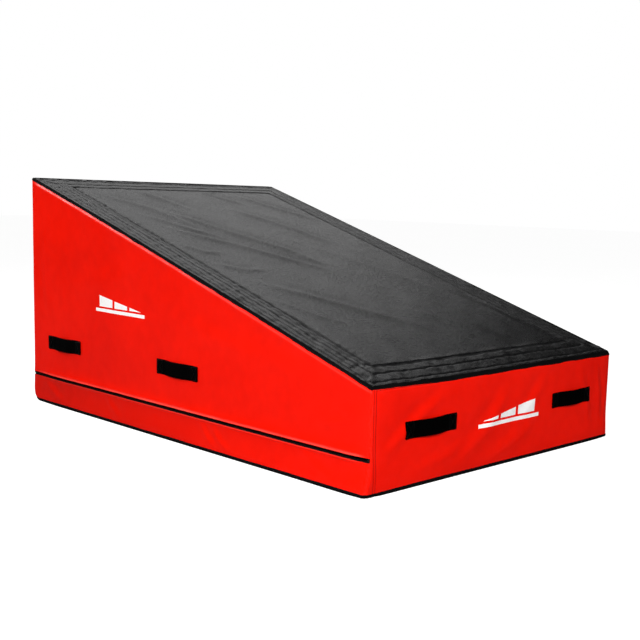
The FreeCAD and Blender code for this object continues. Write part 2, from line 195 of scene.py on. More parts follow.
def drift(P):
    """Where the whole cover leaves the true wedge: it is filled by hand."""
    out = np.zeros_like(P)
    x, y, z = P[..., 0], P[..., 1], P[..., 2]
    left, right = smooth(0.5 - x / (2 * HX)), smooth(0.5 + x / (2 * HX))
    low, near = np.exp(-(z / 0.060) ** 2), np.clip(0.5 - y / (2 * HY), 0, 1)
    # the left foot stands out along its whole length, a little less at the tall end
    out[..., 0] -= left * low * (0.0135 + 0.0030 * smooth((near - 0.80) / 0.2) - 0.0045 * smooth((0.12 - near) / 0.12))
    # the left wall leans out a little towards the tall end
    out[..., 0] -= left * (1 - low) * 0.0035 * smooth((0.35 - near) / 0.35)
    # the foot of the low wall runs slightly askew
    out[..., 1] += low * near ** 4 * (0.0030 * left - 0.0075 * right)
    # the far side is fuller under the slope
    out[..., 0] += right * (1 - 0.45 * low) * 0.0085 * (0.35 + 0.65 * near)
    # the slope is fuller along its left edge
    rise = np.interp(near, (0.0, 0.07, 0.20, 0.33, 0.45, 0.60, 0.75, 0.86, 1.0),
                     (0.0, 0.0028, 0.0058, 0.0072, 0.0082, 0.0088, 0.0084, 0.0070, 0.0058))
    d = np.maximum(x + HX, 0)
    across = 0.8 * np.exp(-(d / 0.18) ** 2) + 0.2 * (1 - near ** 3)
    upper = smooth(1 - (top_z(y) - z) / 0.16)
    out[..., 2] += rise * across * upper
    return out


def soften(P):
    """(the rounded place, the direction out of the mat) of a point on the sharp wedge."""
    r = radius(P)[..., None]
    d = np.maximum(P @ NORMALS.T - OFFSETS + r, 0)
    v = d @ NORMALS
    m = np.linalg.norm(v, axis=-1, keepdims=True)
    n = v / np.maximum(m, 1e-9)
    return P - v * (1 - r / np.maximum(m, 1e-9)) + drift(P), n


def inside(P, margin=0.0042):
    """A point of the filling, kept a little inside the rounded cover."""
    r = radius(P)[..., None]
    d = np.maximum(P @ NORMALS.T - OFFSETS + r, 0)
    v = d @ NORMALS
    m = np.linalg.norm(v, axis=-1, keepdims=True)
    return P - v / np.maximum(m, 1e-9) * np.maximum(m - (r - margin), 0)


# -------------------------------------------------------------- mesh helpers
def grid_object(name, P, material, uv=None, flip=False, close_u=False, close_v=False,
                attributes=None, fill_ends=False):
    """A mesh of quads from an array of points, rows by columns."""
    nu, nv = P.shape[:2]
    index = np.arange(nu * nv).reshape(nu, nv)
    if close_u:
        index = np.vstack([index, index[:1]])
    if close_v:
        index = np.hstack([index, index[:, :1]])
    a, b, c, d = index[:-1, :-1], index[1:, :-1], index[1:, 1:], index[:-1, 1:]
    quads = np.stack([a, b, c, d] if not flip else [a, d, c, b], -1).reshape(-1, 4)
    return quad_object(name, P.reshape(-1, 3), quads, material,
                       None if uv is None else uv.reshape(-1, 2), attributes)


def quad_object(name, verts, quads, material, uv=None, attributes=None, smooth_shade=True):
    me = bpy.data.meshes.new(name)
    verts = np.asarray(verts, np.float32)
    quads = np.asarray(quads, np.int32)
    me.vertices.add(len(verts))
    me.vertices.foreach_set("co", verts.ravel())
    n = quads.shape[1]
    me.loops.add(quads.size)
    me.loops.foreach_set("vertex_index", quads.ravel())
    me.polygons.add(len(quads))
    me.polygons.foreach_set("loop_start", np.arange(0, quads.size, n, dtype=np.int32))
    me.polygons.foreach_set("loop_total", np.full(len(quads), n, np.int32))
    me.update(calc_edges=True)
    me.validate()
    if uv is not None:
        layer = me.uv_layers.new(name="flat")
        per_loop = np.asarray(uv, np.float32)[quads.ravel()]
        layer.data.foreach_set("uv", per_loop.ravel())
    for key, values in (attributes or {}).items():
        at = me.attributes.new(key, "FLOAT", "POINT")
        at.data.foreach_set("value", np.asarray(values, np.float32).ravel())
    me.polygons.foreach_set("use_smooth", np.full(len(me.polygons), smooth_shade))
    me.materials.append(material)
    ob = bpy.data.objects.new(name, me)
    SCENE.collection.objects.link(ob)
    return ob


def stations(length, step, edge=0.03, fine=0.0015):
    """Places along a length, closer together at its two ends."""
    near = np.arange(0, edge, fine)
    inner = np.linspace(edge, length - edge, max(2, int(round((length - 2 * edge) / step)) + 1))
    return np.concatenate([near, inner, length - near[::-1]])


# ---------------------------------------------------------------- materials
def nodes_of(name):
    m = bpy.data.materials.new(name)
    m.use_nodes = True
    nt = m.node_tree
    return m, nt, nt.nodes["Principled BSDF"]


def node(nt, kind, **values):
    n = nt.nodes.new(kind)
    for key, value in values.items():
        if key in n.inputs.keys() if hasattr(n.inputs, "keys") else False:
            n.inputs[key].default_value = value
        else:
            setattr(n, key, value)
    return n


def math_node(nt, op, a, b=None, c=None):
    n = nt.nodes.new("ShaderNodeMath")
    n.operation = op
    for i, x in enumerate((a, b, c)):
        if x is None:
            continue
        if isinstance(x, (int, float)):
            n.inputs[i].default_value = x
        else:
            nt.links.new(x, n.inputs[i])
    return n.outputs[0]


def ramp(nt, fac, stops):
    n = nt.nodes.new("ShaderNodeValToRGB")
    el = n.color_ramp.elements
    while len(el) < len(stops):
        el.new(0.5)
    for e, (at, colour) in zip(el, stops):
        e.position = at
        e.color = (*colour, 1) if len(colour) == 3 else colour
    nt.links.new(fac, n.inputs["Fac"])
    return n.outputs["Color"]


def value_range(nt, x, lo, hi, a=0.0, b=1.0):
    n = nt.nodes.new("ShaderNodeMapRange")
    nt.links.new(x, n.inputs["Value"])
    n.inputs["From Min"].default_value = a
    n.inputs["From Max"].default_value = b
    n.inputs["To Min"].default_value = lo
    n.inputs["To Max"].default_value = hi
    return n.outputs["Result"]


def noise_node(nt, vector, scale, detail=3.0, rough=0.5):
    n = nt.nodes.new("ShaderNodeTexNoise")
    n.inputs["Scale"].default_value = scale
    n.inputs["Detail"].default_value = detail
    n.inputs["Roughness"].default_value = rough
    nt.links.new(vector, n.inputs["Vector"])
    return n.outputs["Fac"]


def voronoi_node(nt, vector, scale, feature="F1"):
    n = nt.nodes.new("ShaderNodeTexVoronoi")
    n.feature = feature
    n.inputs["Scale"].default_value = scale
    nt.links.new(vector, n.inputs["Vector"])
    return n.outputs["Distance"]


def bump(nt, bsdf, height, distance, strength=1.0, before=None):
    n = nt.nodes.new("ShaderNodeBump")
    n.inputs["Strength"].default_value = strength
    n.inputs["Distance"].default_value = distance
    nt.links.new(height, n.inputs["Height"])
    if before is not None:
        nt.links.new(before, n.inputs["Normal"])
    if bsdf is not None:
        nt.links.new(n.outputs["Normal"], bsdf.inputs["Normal"])
    return n.outputs["Normal"]


def object_coords(nt):
    return nt.nodes.new("ShaderNodeTexCoord").outputs["Object"]


def split(nt, vector):
    n = nt.nodes.new("ShaderNodeSeparateXYZ")
    nt.links.new(vector, n.inputs[0])
    return n.outputs


def attribute(nt, name):
    n = nt.nodes.new("ShaderNodeAttribute")
    n.attribute_name = name
    return n.outputs["Fac"]


def mix_colour(nt, fac, a, b):
    n = nt.nodes.new("ShaderNodeMix")
    n.data_type = "RGBA"
    ins = [i for i in n.inputs if i.type == "RGBA"]
    out = [o for o in n.outputs if o.type == "RGBA"][0]
    for socket, x in zip(ins, (a, b)):
        if isinstance(x, tuple):
            socket.default_value = (*x, 1)
        else:
            nt.links.new(x, socket)
    if isinstance(fac, (int, float)):
        n.inputs[0].default_value = fac
    else:
        nt.links.new(fac, n.inputs[0])
    return out


def flat_uv(nt):
    n = nt.nodes.new("ShaderNodeUVMap")
    n.uv_map = "flat"
    return n.outputs["UV"]


def vinyl_material(name, deep, bright, rough=(0.28, 0.40)):
    """Coated fabric: fine leather grain over a faint scrim, and scuffs at the edges."""
    m, nt, b = nodes_of(name)
    co = object_coords(nt)
    large = noise_node(nt, co, 3.2, 4.0)
    mid = noise_node(nt, co, 23.0, 3.0)
    tone = math_node(nt, "ADD", math_node(nt, "MULTIPLY", large, 0.65), math_node(nt, "MULTIPLY", mid, 0.35))
    base = ramp(nt, tone, [(0.32, deep), (0.68, bright)])
    wear = attribute(nt, "wear")
    scuff = math_node(nt, "MULTIPLY", wear, value_range(nt, noise_node(nt, co, 160.0, 4.0, 0.65), 0.0, 1.0, 0.45, 0.75))
    lighter = tuple(min(1.0, c * 1.0 + 0.035) for c in bright)
    colour = mix_colour(nt, math_node(nt, "MULTIPLY", scuff, 0.35), base, lighter)
    # painted shade: darkens the low walls towards a deep red
    colour = mix_colour(nt, math_node(nt, "MULTIPLY", attribute(nt, "painted_low_shade"), value_range(nt, mid, 0.30, 0.50, 0.3, 0.7)), colour, (0.20, 0.003, 0.001))
    # painted shade: darkens the vinyl along the topstitched seam rows
    colour = mix_colour(nt, math_node(nt, "MULTIPLY", attribute(nt, "seam"), 0.75), colour, (0.30, 0.002, 0.001))
    # painted highlight: lightens the vinyl along the zipper lips and under the top tape
    colour = mix_colour(nt, math_node(nt, "MULTIPLY", attribute(nt, "painted_highlight"), 0.95), colour, (0.96, 0.085, 0.062))
    nt.links.new(colour, b.inputs["Base Color"])
    b.inputs["Specular IOR Level"].default_value = 0.10
    b.inputs["IOR"].default_value = 1.5
    r = value_range(nt, noise_node(nt, co, 9.0, 5.0, 0.6), rough[0], rough[1], 0.3, 0.7)
    nt.links.new(math_node(nt, "ADD", r, math_node(nt, "MULTIPLY", scuff, 0.18)), b.inputs["Roughness"])
    grain = voronoi_node(nt, co, 850.0, "SMOOTH_F1")
    fibre = noise_node(nt, co, 420.0, 3.0, 0.6)
    first = bump(nt, None, grain, 0.00022, 0.30)
    second = bump(nt, None, fibre, 0.00035, 0.35, first)
    bump(nt, b, noise_node(nt, co, 38.0, 3.0, 0.5), 0.0011, 0.35, second)
    return m


def woven_material(name, dark, light, pitch, rough=(0.42, 0.56), sheen=0.06, relief=0.0004,
                   specular=0.5, gloss_scale=7.0, gap_rough=0.12, mottle=0.05):
    """Plain weave over the piece's own flat coordinates: over and under threads."""
    m, nt, b = nodes_of(name)
    uv = flat_uv(nt)
    co = object_coords(nt)
    x, y, _ = split(nt, uv)
    X, Y = math_node(nt, "DIVIDE", x, pitch), math_node(nt, "DIVIDE", y, pitch)
    fx, fy = math_node(nt, "FRACT", X), math_node(nt, "FRACT", Y)
    sx = math_node(nt, "SINE", math_node(nt, "MULTIPLY", fx, math.pi))
    sy = math_node(nt, "SINE", math_node(nt, "MULTIPLY", fy, math.pi))
    check = math_node(nt, "MODULO", math_node(nt, "ADD", math_node(nt, "FLOOR", X), math_node(nt, "FLOOR", Y)), 2.0)
    check = math_node(nt, "ABSOLUTE", check)
    over = math_node(nt, "MULTIPLY", sx, math_node(nt, "ADD", math_node(nt, "MULTIPLY", sy, 0.35), 0.65))
    under = math_node(nt, "MULTIPLY", sy, math_node(nt, "ADD", math_node(nt, "MULTIPLY", sx, 0.35), 0.65))
    blend = nt.nodes.new("ShaderNodeMix")
    nt.links.new(check, blend.inputs[0])
    nt.links.new(over, blend.inputs[2])
    nt.links.new(under, blend.inputs[3])
    height = blend.outputs[0]
    fuzz = noise_node(nt, co, 310.0, 3.0, 0.6)
    slub = noise_node(nt, co, 14.0, 4.0, 0.6)
    tone = math_node(nt, "ADD", math_node(nt, "MULTIPLY", height, 0.5), math_node(nt, "MULTIPLY", slub, 0.5))
    tone = math_node(nt, "ADD", tone, math_node(nt, "MULTIPLY", fuzz, 0.15))
    colour = ramp(nt, tone, [(0.25, dark), (0.85, light)])
    nt.links.new(colour, b.inputs["Base Color"])
    r = value_range(nt, noise_node(nt, co, gloss_scale, 5.0, 0.55), rough[0], rough[1], 0.3, 0.7)
    r = math_node(nt, "ADD", r, math_node(nt, "MULTIPLY", math_node(nt, "SUBTRACT", 1.0, height), gap_rough))
    r = math_node(nt, "ADD", r, value_range(nt, noise_node(nt, co, 150.0, 3.0, 0.6), -mottle, mottle, 0.3, 0.7))
    nt.links.new(math_node(nt, "ADD", r, math_node(nt, "MULTIPLY", attribute(nt, "seam"), 0.5)), b.inputs["Roughness"])
    b.inputs["Specular IOR Level"].default_value = specular
    b.inputs["Sheen Weight"].default_value = sheen
    b.inputs["Sheen Roughness"].default_value = 0.5
    first = bump(nt, None, height, relief, 0.7)
    bump(nt, b, fuzz, 0.0003, 0.3, first)
    return m


def webbing_material(name, dark, light):
    """Heavy flat webbing: a herringbone of ribs along the strap."""
    m, nt, b = nodes_of(name)
    uv = flat_uv(nt)
    co = object_coords(nt)
    x, y, _ = split(nt, uv)
    # chevrons 8 mm wide across the strap, ribs 1.6 mm along it
    column = math_node(nt, "PINGPONG", y, 0.004)
    along = math_node(nt, "ADD", x, column)
    rib = math_node(nt, "SINE", math_node(nt, "MULTIPLY", along, 2 * math.pi / 0.0016))
    rib = math_node(nt, "ADD", math_node(nt, "MULTIPLY", rib, 0.5), 0.5)
    fuzz = noise_node(nt, co, 700.0, 3.0, 0.7)
    tone = math_node(nt, "ADD", math_node(nt, "MULTIPLY", rib, 0.7), math_node(nt, "MULTIPLY", fuzz, 0.3))
    nt.links.new(ramp(nt, tone, [(0.2, dark), (0.8, light)]), b.inputs["Base Color"])
    nt.links.new(value_range(nt, fuzz, 0.62, 0.82, 0.3, 0.7), b.inputs["Roughness"])
    b.inputs["Specular IOR Level"].default_value = 0.018
    first = bump(nt, None, rib, 0.0004, 0.8)
    bump(nt, b, fuzz, 0.0002, 0.4, first)
    return m


def thread_material(name, colour):
    m, nt, b = nodes_of(name)
    co = object_coords(nt)
    twist = noise_node(nt, co, 900.0, 2.0)
    tone = noise_node(nt, co, 40.0, 2.0)
    dim = tuple(c * 0.7 for c in colour)
    nt.links.new(ramp(nt, tone, [(0.3, dim), (0.7, colour)]), b.inputs["Base Color"])
    nt.links.new(value_range(nt, twist, 0.4, 0.65, 0.3, 0.7), b.inputs["Roughness"])
    bump(nt, b, twist, 0.0002, 0.5)
    return m


def foam_material(name, colour, pore, cell):
    """Cut foam: open cells, a little yellowed."""
    m, nt, b = nodes_of(name)
    co = object_coords(nt)
    cells = voronoi_node(nt, co, cell)
    age = noise_node(nt, co, 4.0, 4.0)
    tone = math_node(nt, "ADD", math_node(nt, "MULTIPLY", cells, 0.7), math_node(nt, "MULTIPLY", age, 0.4))
    nt.links.new(ramp(nt, tone, [(0.2, pore), (0.6, colour)]), b.inputs["Base Color"])
    nt.links.new(value_range(nt, cells, 0.8, 0.95), b.inputs["Roughness"])
    b.inputs["Specular IOR Level"].default_value = 0.2
    bump(nt, b, cells, 0.0006, 0.6)
    return m


def plastic_material(name, colour, rough, worn=None, scale=120.0, specular=0.5):
    m, nt, b = nodes_of(name)
    b.inputs["Specular IOR Level"].default_value = specular
    co = object_coords(nt)
    n1 = noise_node(nt, co, scale, 4.0)
    dim = tuple(c * 0.75 for c in colour)
    base = ramp(nt, n1, [(0.3, dim), (0.7, colour)])
    if worn:
        scratch = value_range(nt, noise_node(nt, co, 900.0, 3.0, 0.7), 0.0, 1.0, 0.62, 0.72)
        base = mix_colour(nt, math_node(nt, "MULTIPLY", scratch, 0.6), base, worn)
    nt.links.new(base, b.inputs["Base Color"])
    nt.links.new(value_range(nt, noise_node(nt, co, scale * 2, 3.0), rough[0], rough[1], 0.3, 0.7), b.inputs["Roughness"])
    if worn:
        b.inputs["Metallic"].default_value = 0.6
    bump(nt, b, n1, 0.0001, 0.4)
    return m


def rubber_material(name):
    """Non-slip underside: raised dots on a coated cloth."""
    m, nt, b = nodes_of(name)
    co = object_coords(nt)
    x, y, _ = split(nt, co)
    p = 0.0085
    dx = math_node(nt, "SUBTRACT", math_node(nt, "FRACT", math_node(nt, "DIVIDE", x, p)), 0.5)
    dy = math_node(nt, "SUBTRACT", math_node(nt, "FRACT", math_node(nt, "DIVIDE", y, p)), 0.5)
    d = math_node(nt, "SQRT", math_node(nt, "ADD", math_node(nt, "MULTIPLY", dx, dx), math_node(nt, "MULTIPLY", dy, dy)))
    dot = value_range(nt, d, 1.0, 0.0, 0.22, 0.34)
    dust = noise_node(nt, co, 18.0, 5.0, 0.6)
    tone = math_node(nt, "ADD", math_node(nt, "MULTIPLY", dust, 0.8), math_node(nt, "MULTIPLY", dot, 0.15))
    nt.links.new(ramp(nt, tone, [(0.25, (0.010, 0.010, 0.011)), (0.75, (0.034, 0.033, 0.032))]), b.inputs["Base Color"])
    nt.links.new(value_range(nt, dust, 0.6, 0.85, 0.3, 0.7), b.inputs["Roughness"])
    bump(nt, b, dot, 0.0006, 0.8)
    return m


def ink_material(name):
    m, nt, b = nodes_of(name)
    co = object_coords(nt)
    n1 = noise_node(nt, co, 60.0, 5.0, 0.65)
    nt.links.new(ramp(nt, n1, [(0.25, (0.86, 0.84, 0.83)), (0.45, (0.97, 0.96, 0.95))]), b.inputs["Base Color"])
    nt.links.new(value_range(nt, n1, 0.42, 0.6, 0.3, 0.7), b.inputs["Roughness"])
    grain = voronoi_node(nt, co, 850.0, "SMOOTH_F1")
    bump(nt, b, grain, 0.0002, 0.25)
    return m


RED = vinyl_material("vinyl_red_grain", (0.76, 0.0046, 0.0003), (0.90, 0.0070, 0.0007))
MESH = woven_material("mesh_top_weave", (0.0008, 0.0008, 0.0009), (0.0068, 0.0068, 0.0071), 0.0034,
                      rough=(0.16, 0.23), relief=0.0006, sheen=0.0, gap_rough=0.16, mottle=0.09)
FACING = woven_material("mesh_border_weave", (0.0006, 0.0006, 0.0007), (0.0052, 0.0052, 0.0054), 0.0034,
                        rough=(0.17, 0.25), relief=0.0006, sheen=0.0, gap_rough=0.18, mottle=0.12)
BIND = woven_material("binding_tape_weave", (0.0015, 0.0015, 0.0016), (0.006, 0.006, 0.0062), 0.0012,
                      rough=(0.74, 0.86), sheen=0.0, relief=0.0002, specular=0.02)
TAPE = woven_material("zipper_tape_weave", (0.003, 0.003, 0.003), (0.011, 0.011, 0.011), 0.0009,
                      rough=(0.6, 0.75), sheen=0.0, relief=0.0002, specular=0.1)
PATCH = woven_material("patch_weave", (0.03, 0.03, 0.033), (0.10, 0.10, 0.105), 0.0014,
                       rough=(0.7, 0.85), sheen=0.1, relief=0.0003, specular=0.3)
WEB = webbing_material("webbing_rib", (0.0002, 0.0002, 0.0002), (0.0010, 0.0010, 0.00105))
THREAD_BLACK = thread_material("thread_black", (0.006, 0.006, 0.0062))
THREAD_RED = thread_material("thread_red", (0.22, 0.004, 0.003))
THREAD_BRIGHT = thread_material("thread_bright_red", (0.52, 0.006, 0.003))
INK = ink_material("printed_white")
UNDER = rubber_material("non_slip_underside")
COIL = plastic_material("nylon_coil", (0.0018, 0.0018, 0.0019), (0.45, 0.6), scale=300.0, specular=0.1)
METAL = plastic_material("painted_slider", (0.02, 0.02, 0.021), (0.3, 0.45), worn=(0.45, 0.44, 0.42), scale=400.0)
FOAM_A = foam_material("foam_base_cells", (0.74, 0.69, 0.50), (0.52, 0.46, 0.30), 420.0)
FOAM_B = foam_material("foam_wedge_cells", (0.80, 0.77, 0.64), (0.56, 0.52, 0.40), 380.0)
FOAM_C = foam_material("foam_firm_cells", (0.10, 0.15, 0.26), (0.05, 0.08, 0.15), 700.0)

# ------------------------------------------------------------------- walls
def ideal(side, s, z):
    """A point on the sharp wedge: s runs along the wall, z up."""
    s, z = np.broadcast_arrays(np.asarray(s, float), np.asarray(z, float))
    if side == "left":
        return np.stack([np.full(s.shape, -HX), s, z], -1)
    if side == "right":
        return np.stack([np.full(s.shape, HX), s, z], -1)
    if side == "front":
        return np.stack([s, np.full(s.shape, -HY), z], -1)
    return np.stack([s, np.full(s.shape, HY), z], -1)


HALF = {"left": HY, "right": HY, "front": HX, "back": HX}
SEED = {"left": 11, "right": 23, "front": 37, "back": 51}


def wall_top(side, s):
    if side in ("left", "right"):
        return top_z(s)
    return np.full(np.shape(s), float(top_z(-HY if side == "front" else HY)))


CORNER_ROWS = {"front": (0.0085, 0.0172), "back": (0.0036, 0.0130), "left": (), "right": ()}


def row_shift(side, s, z):
    """The side panel wraps a little round the bulging low corner, and its rows with it."""
    if side != "front":
        return 0.0 * (s + z)
    return 0.0240 * np.exp(-(z / 0.075) ** 2) * (s < 0) + 0.008 * smooth((0.16 - z) / 0.16) * (s > 0)


def wall_seams(side, s, z):
    """1 on the topstitched rows of a wall, 0 away from them."""
    ends = HALF[side] - np.abs(s) - row_shift(side, s, z)
    out = np.zeros(np.broadcast(s, z).shape)
    for d in CORNER_ROWS[side]:
        out = np.maximum(out, np.exp(-((ends - d) / 0.0016) ** 2))
    if side != "front":
        for zz in (ZIP_HIGH + 0.0070, ZIP_LOW - 0.0070):
            out = np.maximum(out, 0.10 * np.exp(-((z - zz) / 0.0016) ** 2))
    return out


def painted_low_shade(side, s, z):
    """Painted shade: the walls darker below the zipper, most towards the tall end, faintly above it, and darker along
    the foot of the front wall.
    """
    if side == "front":
        return 0.25 * smooth((0.05 - z) / 0.05) + 0.0 * s
    back = smooth((s + 0.75) / 1.5) if side != "back" else 1.0 + 0.0 * s
    return back * np.where(z < ZIP_Z, 0.75, 0.10 * smooth((0.35 - z) / 0.2))


def wall_height(side, s, z):
    """How far the cover stands off the true wall: fill, folds and puckers."""
    s, z = np.broadcast_arrays(np.asarray(s, float), np.asarray(z, float))
    half, seed = HALF[side], SEED[side]
    ends = half - np.abs(s)                            # to the nearest corner seam
    up = wall_top(side, s) - z                         # to the top seam
    inside = smooth(ends / 0.05) * smooth((up - 0.004) / 0.05) * smooth(z / 0.04)
    h = np.zeros(s.shape)
    # fill: nearly flat over the foam, a little fuller in the middle
    full = (1 - np.exp(-ends / 0.10)) * (1 - np.exp(-np.maximum(up, 0) / 0.08)) * (1 - np.exp(-z / 0.05))
    h += 0.0022 * full
    # slow unevenness
    uneven = 0.0019 * noise(s, z, 0.34, seed) + 0.0010 * noise(s, z, 0.13, seed + 1)
    if side == "back":
        # calm beside the zipper, where the sliders run
        uneven = uneven * (1 - 0.85 * np.exp(-((z - ZIP_Z) / 0.035) ** 2))
    h += inside * uneven
    # a soft roll just under the top tape
    roll = np.exp(-np.maximum(up - 0.017, 0) / 0.030) * smooth((up - 0.006) / 0.011)
    h += (0.0042 if side != "front" else 0.0020) * roll * smooth(ends / 0.05)
    # puckers that the seams draw in
    pull = np.exp(-np.maximum(up - 0.012, 0) / 0.022) * smooth((up - 0.004) / 0.012)
    h += 0.0009 * pull * noise(s, z * 0.3, 0.036, seed + 2)
    pull = np.exp(-np.maximum(ends - 0.006, 0) / 0.03) * smooth(ends / 0.012)
    h += 0.0008 * pull * noise(s * 0.25, z, 0.045, seed + 3)
    # topstitched rows and a crease at the corners
    h -= 0.0012 * wall_seams(side, s, z)
    h -= 0.0006 * np.exp(-(ends / 0.0026) ** 2)
    h += 0.0016 * smooth(ends / 0.012)
    if side in ("left", "right", "back"):
        # the cover swells at the zipper and is drawn in at the zipper itself
        swell = 0.0094 * zip_swell(side, s)
        above = np.exp(-np.maximum(z - ZIP_HIGH - 0.001, 0) / 0.015) * (z > ZIP_Z)
        below = np.exp(-np.maximum(ZIP_LOW - 0.002 - z, 0) / 0.030) * (z <= ZIP_Z)
        h += swell * (above + 0.46 * below)
        pull = np.exp(-np.abs(z - ZIP_Z) / 0.016)
        h += 0.0007 * pull * noise(s, z * 0.2, 0.048, seed + 4) * zip_swell(side, s)
    if side == "front":
        # long soft folds across the low wall
        u, v = s + HX, z
        for pts, w, a in FRONT_FOLDS:
            h += inside * ridge(u, v, pts, w * 1.15, a * 1.25)
    if side == "left":
        u, v = s + HY, z
        for pts, w, a in LEFT_FOLDS:
            h += inside * ridge(u, v, pts, w, a)
    if side == "right":
        u, v = HY - s, z
        for pts, w, a in RIGHT_FOLDS:
            h += inside * ridge(u, v, pts, w, a)
    if side == "back":
        u, v = s + HX, z
        for pts, w, a in BACK_FOLDS:
            h += inside * ridge(u, v, pts, w, a)
    return h


def zip_swell(side, s):
    if side == "back":
        return np.full(np.shape(s), 0.12)
    s = np.asarray(s, float)
    return 0.12 + 0.88 * smooth((HY - s) / 0.22) * smooth((s + HY) / 0.08)


# folds: points in metres (along the wall from its left or low end, height), width, height
FRONT_FOLDS = [
    ([(0.03, 0.10), (0.20, 0.205), (0.33, 0.27)], 0.016, 0.0032),
    ([(0.36, 0.03), (0.52, 0.13), (0.64, 0.26)], 0.022, 0.0034),
    ([(0.50, 0.02), (0.70, 0.08), (0.80, 0.17)], 0.020, 0.0028),
    ([(0.62, 0.06), (0.78, 0.21), (0.84, 0.28)], 0.018, 0.0024),
    ([(1.02, 0.27), (1.08, 0.14), (1.10, 0.04)], 0.014, 0.0022),
    ([(1.12, 0.28), (1.155, 0.16), (1.165, 0.05)], 0.012, 0.0026),
    ([(0.16, 0.04), (0.34, 0.075), (0.44, 0.12)], 0.016, 0.0020),
]
LEFT_FOLDS = [
    ([(0.66, 0.012), (0.72, 0.055), (0.76, 0.10)], 0.010, 0.0026),
    ([(0.58, 0.012), (0.65, 0.05), (0.70, 0.095)], 0.010, 0.0022),
    ([(1.20, 0.02), (1.27, 0.06), (1.31, 0.10)], 0.012, 0.0018),
    ([(1.58, 0.015), (1.66, 0.05), (1.76, 0.09)], 0.014, 0.0024),
    ([(0.12, 0.02), (0.22, 0.06), (0.30, 0.10)], 0.014, 0.0016),
    ([(0.20, 0.31), (0.55, 0.34), (0.95, 0.42)], 0.030, 0.0016),
    ([(0.95, 0.62), (1.30, 0.50), (1.62, 0.46)], 0.036, 0.0018),
    ([(1.72, 0.75), (1.74, 0.55), (1.70, 0.30)], 0.022, 0.0016),
    ([(0.04, 0.26), (0.10, 0.20), (0.22, 0.17)], 0.014, 0.0018),
]
RIGHT_FOLDS = [
    ([(0.20, 0.03), (0.30, 0.06), (0.37, 0.10)], 0.012, 0.0022),
    ([(0.90, 0.02), (0.98, 0.06), (1.02, 0.10)], 0.012, 0.0020),
    ([(0.30, 0.72), (0.62, 0.55), (1.00, 0.47)], 0.034, 0.0020),
    ([(1.10, 0.40), (1.40, 0.30), (1.70, 0.26)], 0.026, 0.0018),
]
BACK_FOLDS = [
    ([(0.10, 0.80), (0.30, 0.60), (0.62, 0.52)], 0.030, 0.0022),
    ([(1.12, 0.78), (0.95, 0.60), (0.86, 0.36)], 0.028, 0.0022),
    ([(0.08, 0.30), (0.22, 0.42), (0.42, 0.47)], 0.024, 0.0018),
    ([(0.30, 0.02), (0.40, 0.05), (0.46, 0.095)], 0.012, 0.0016),
]


def wall_point(side, s, z, off=0.0):
    """The cover's surface at (s, z) of a wall, or a place `off` outside it."""
    P, n = soften(ideal(side, s, z))
    h = wall_height(side, s, z) + off
    return P + n * h[..., None] if np.ndim(h) else P + n * h


def wall_normal(side, s, z):
    return soften(ideal(side, s, z))[1]


WALL_TOP_GAP = 0.0050


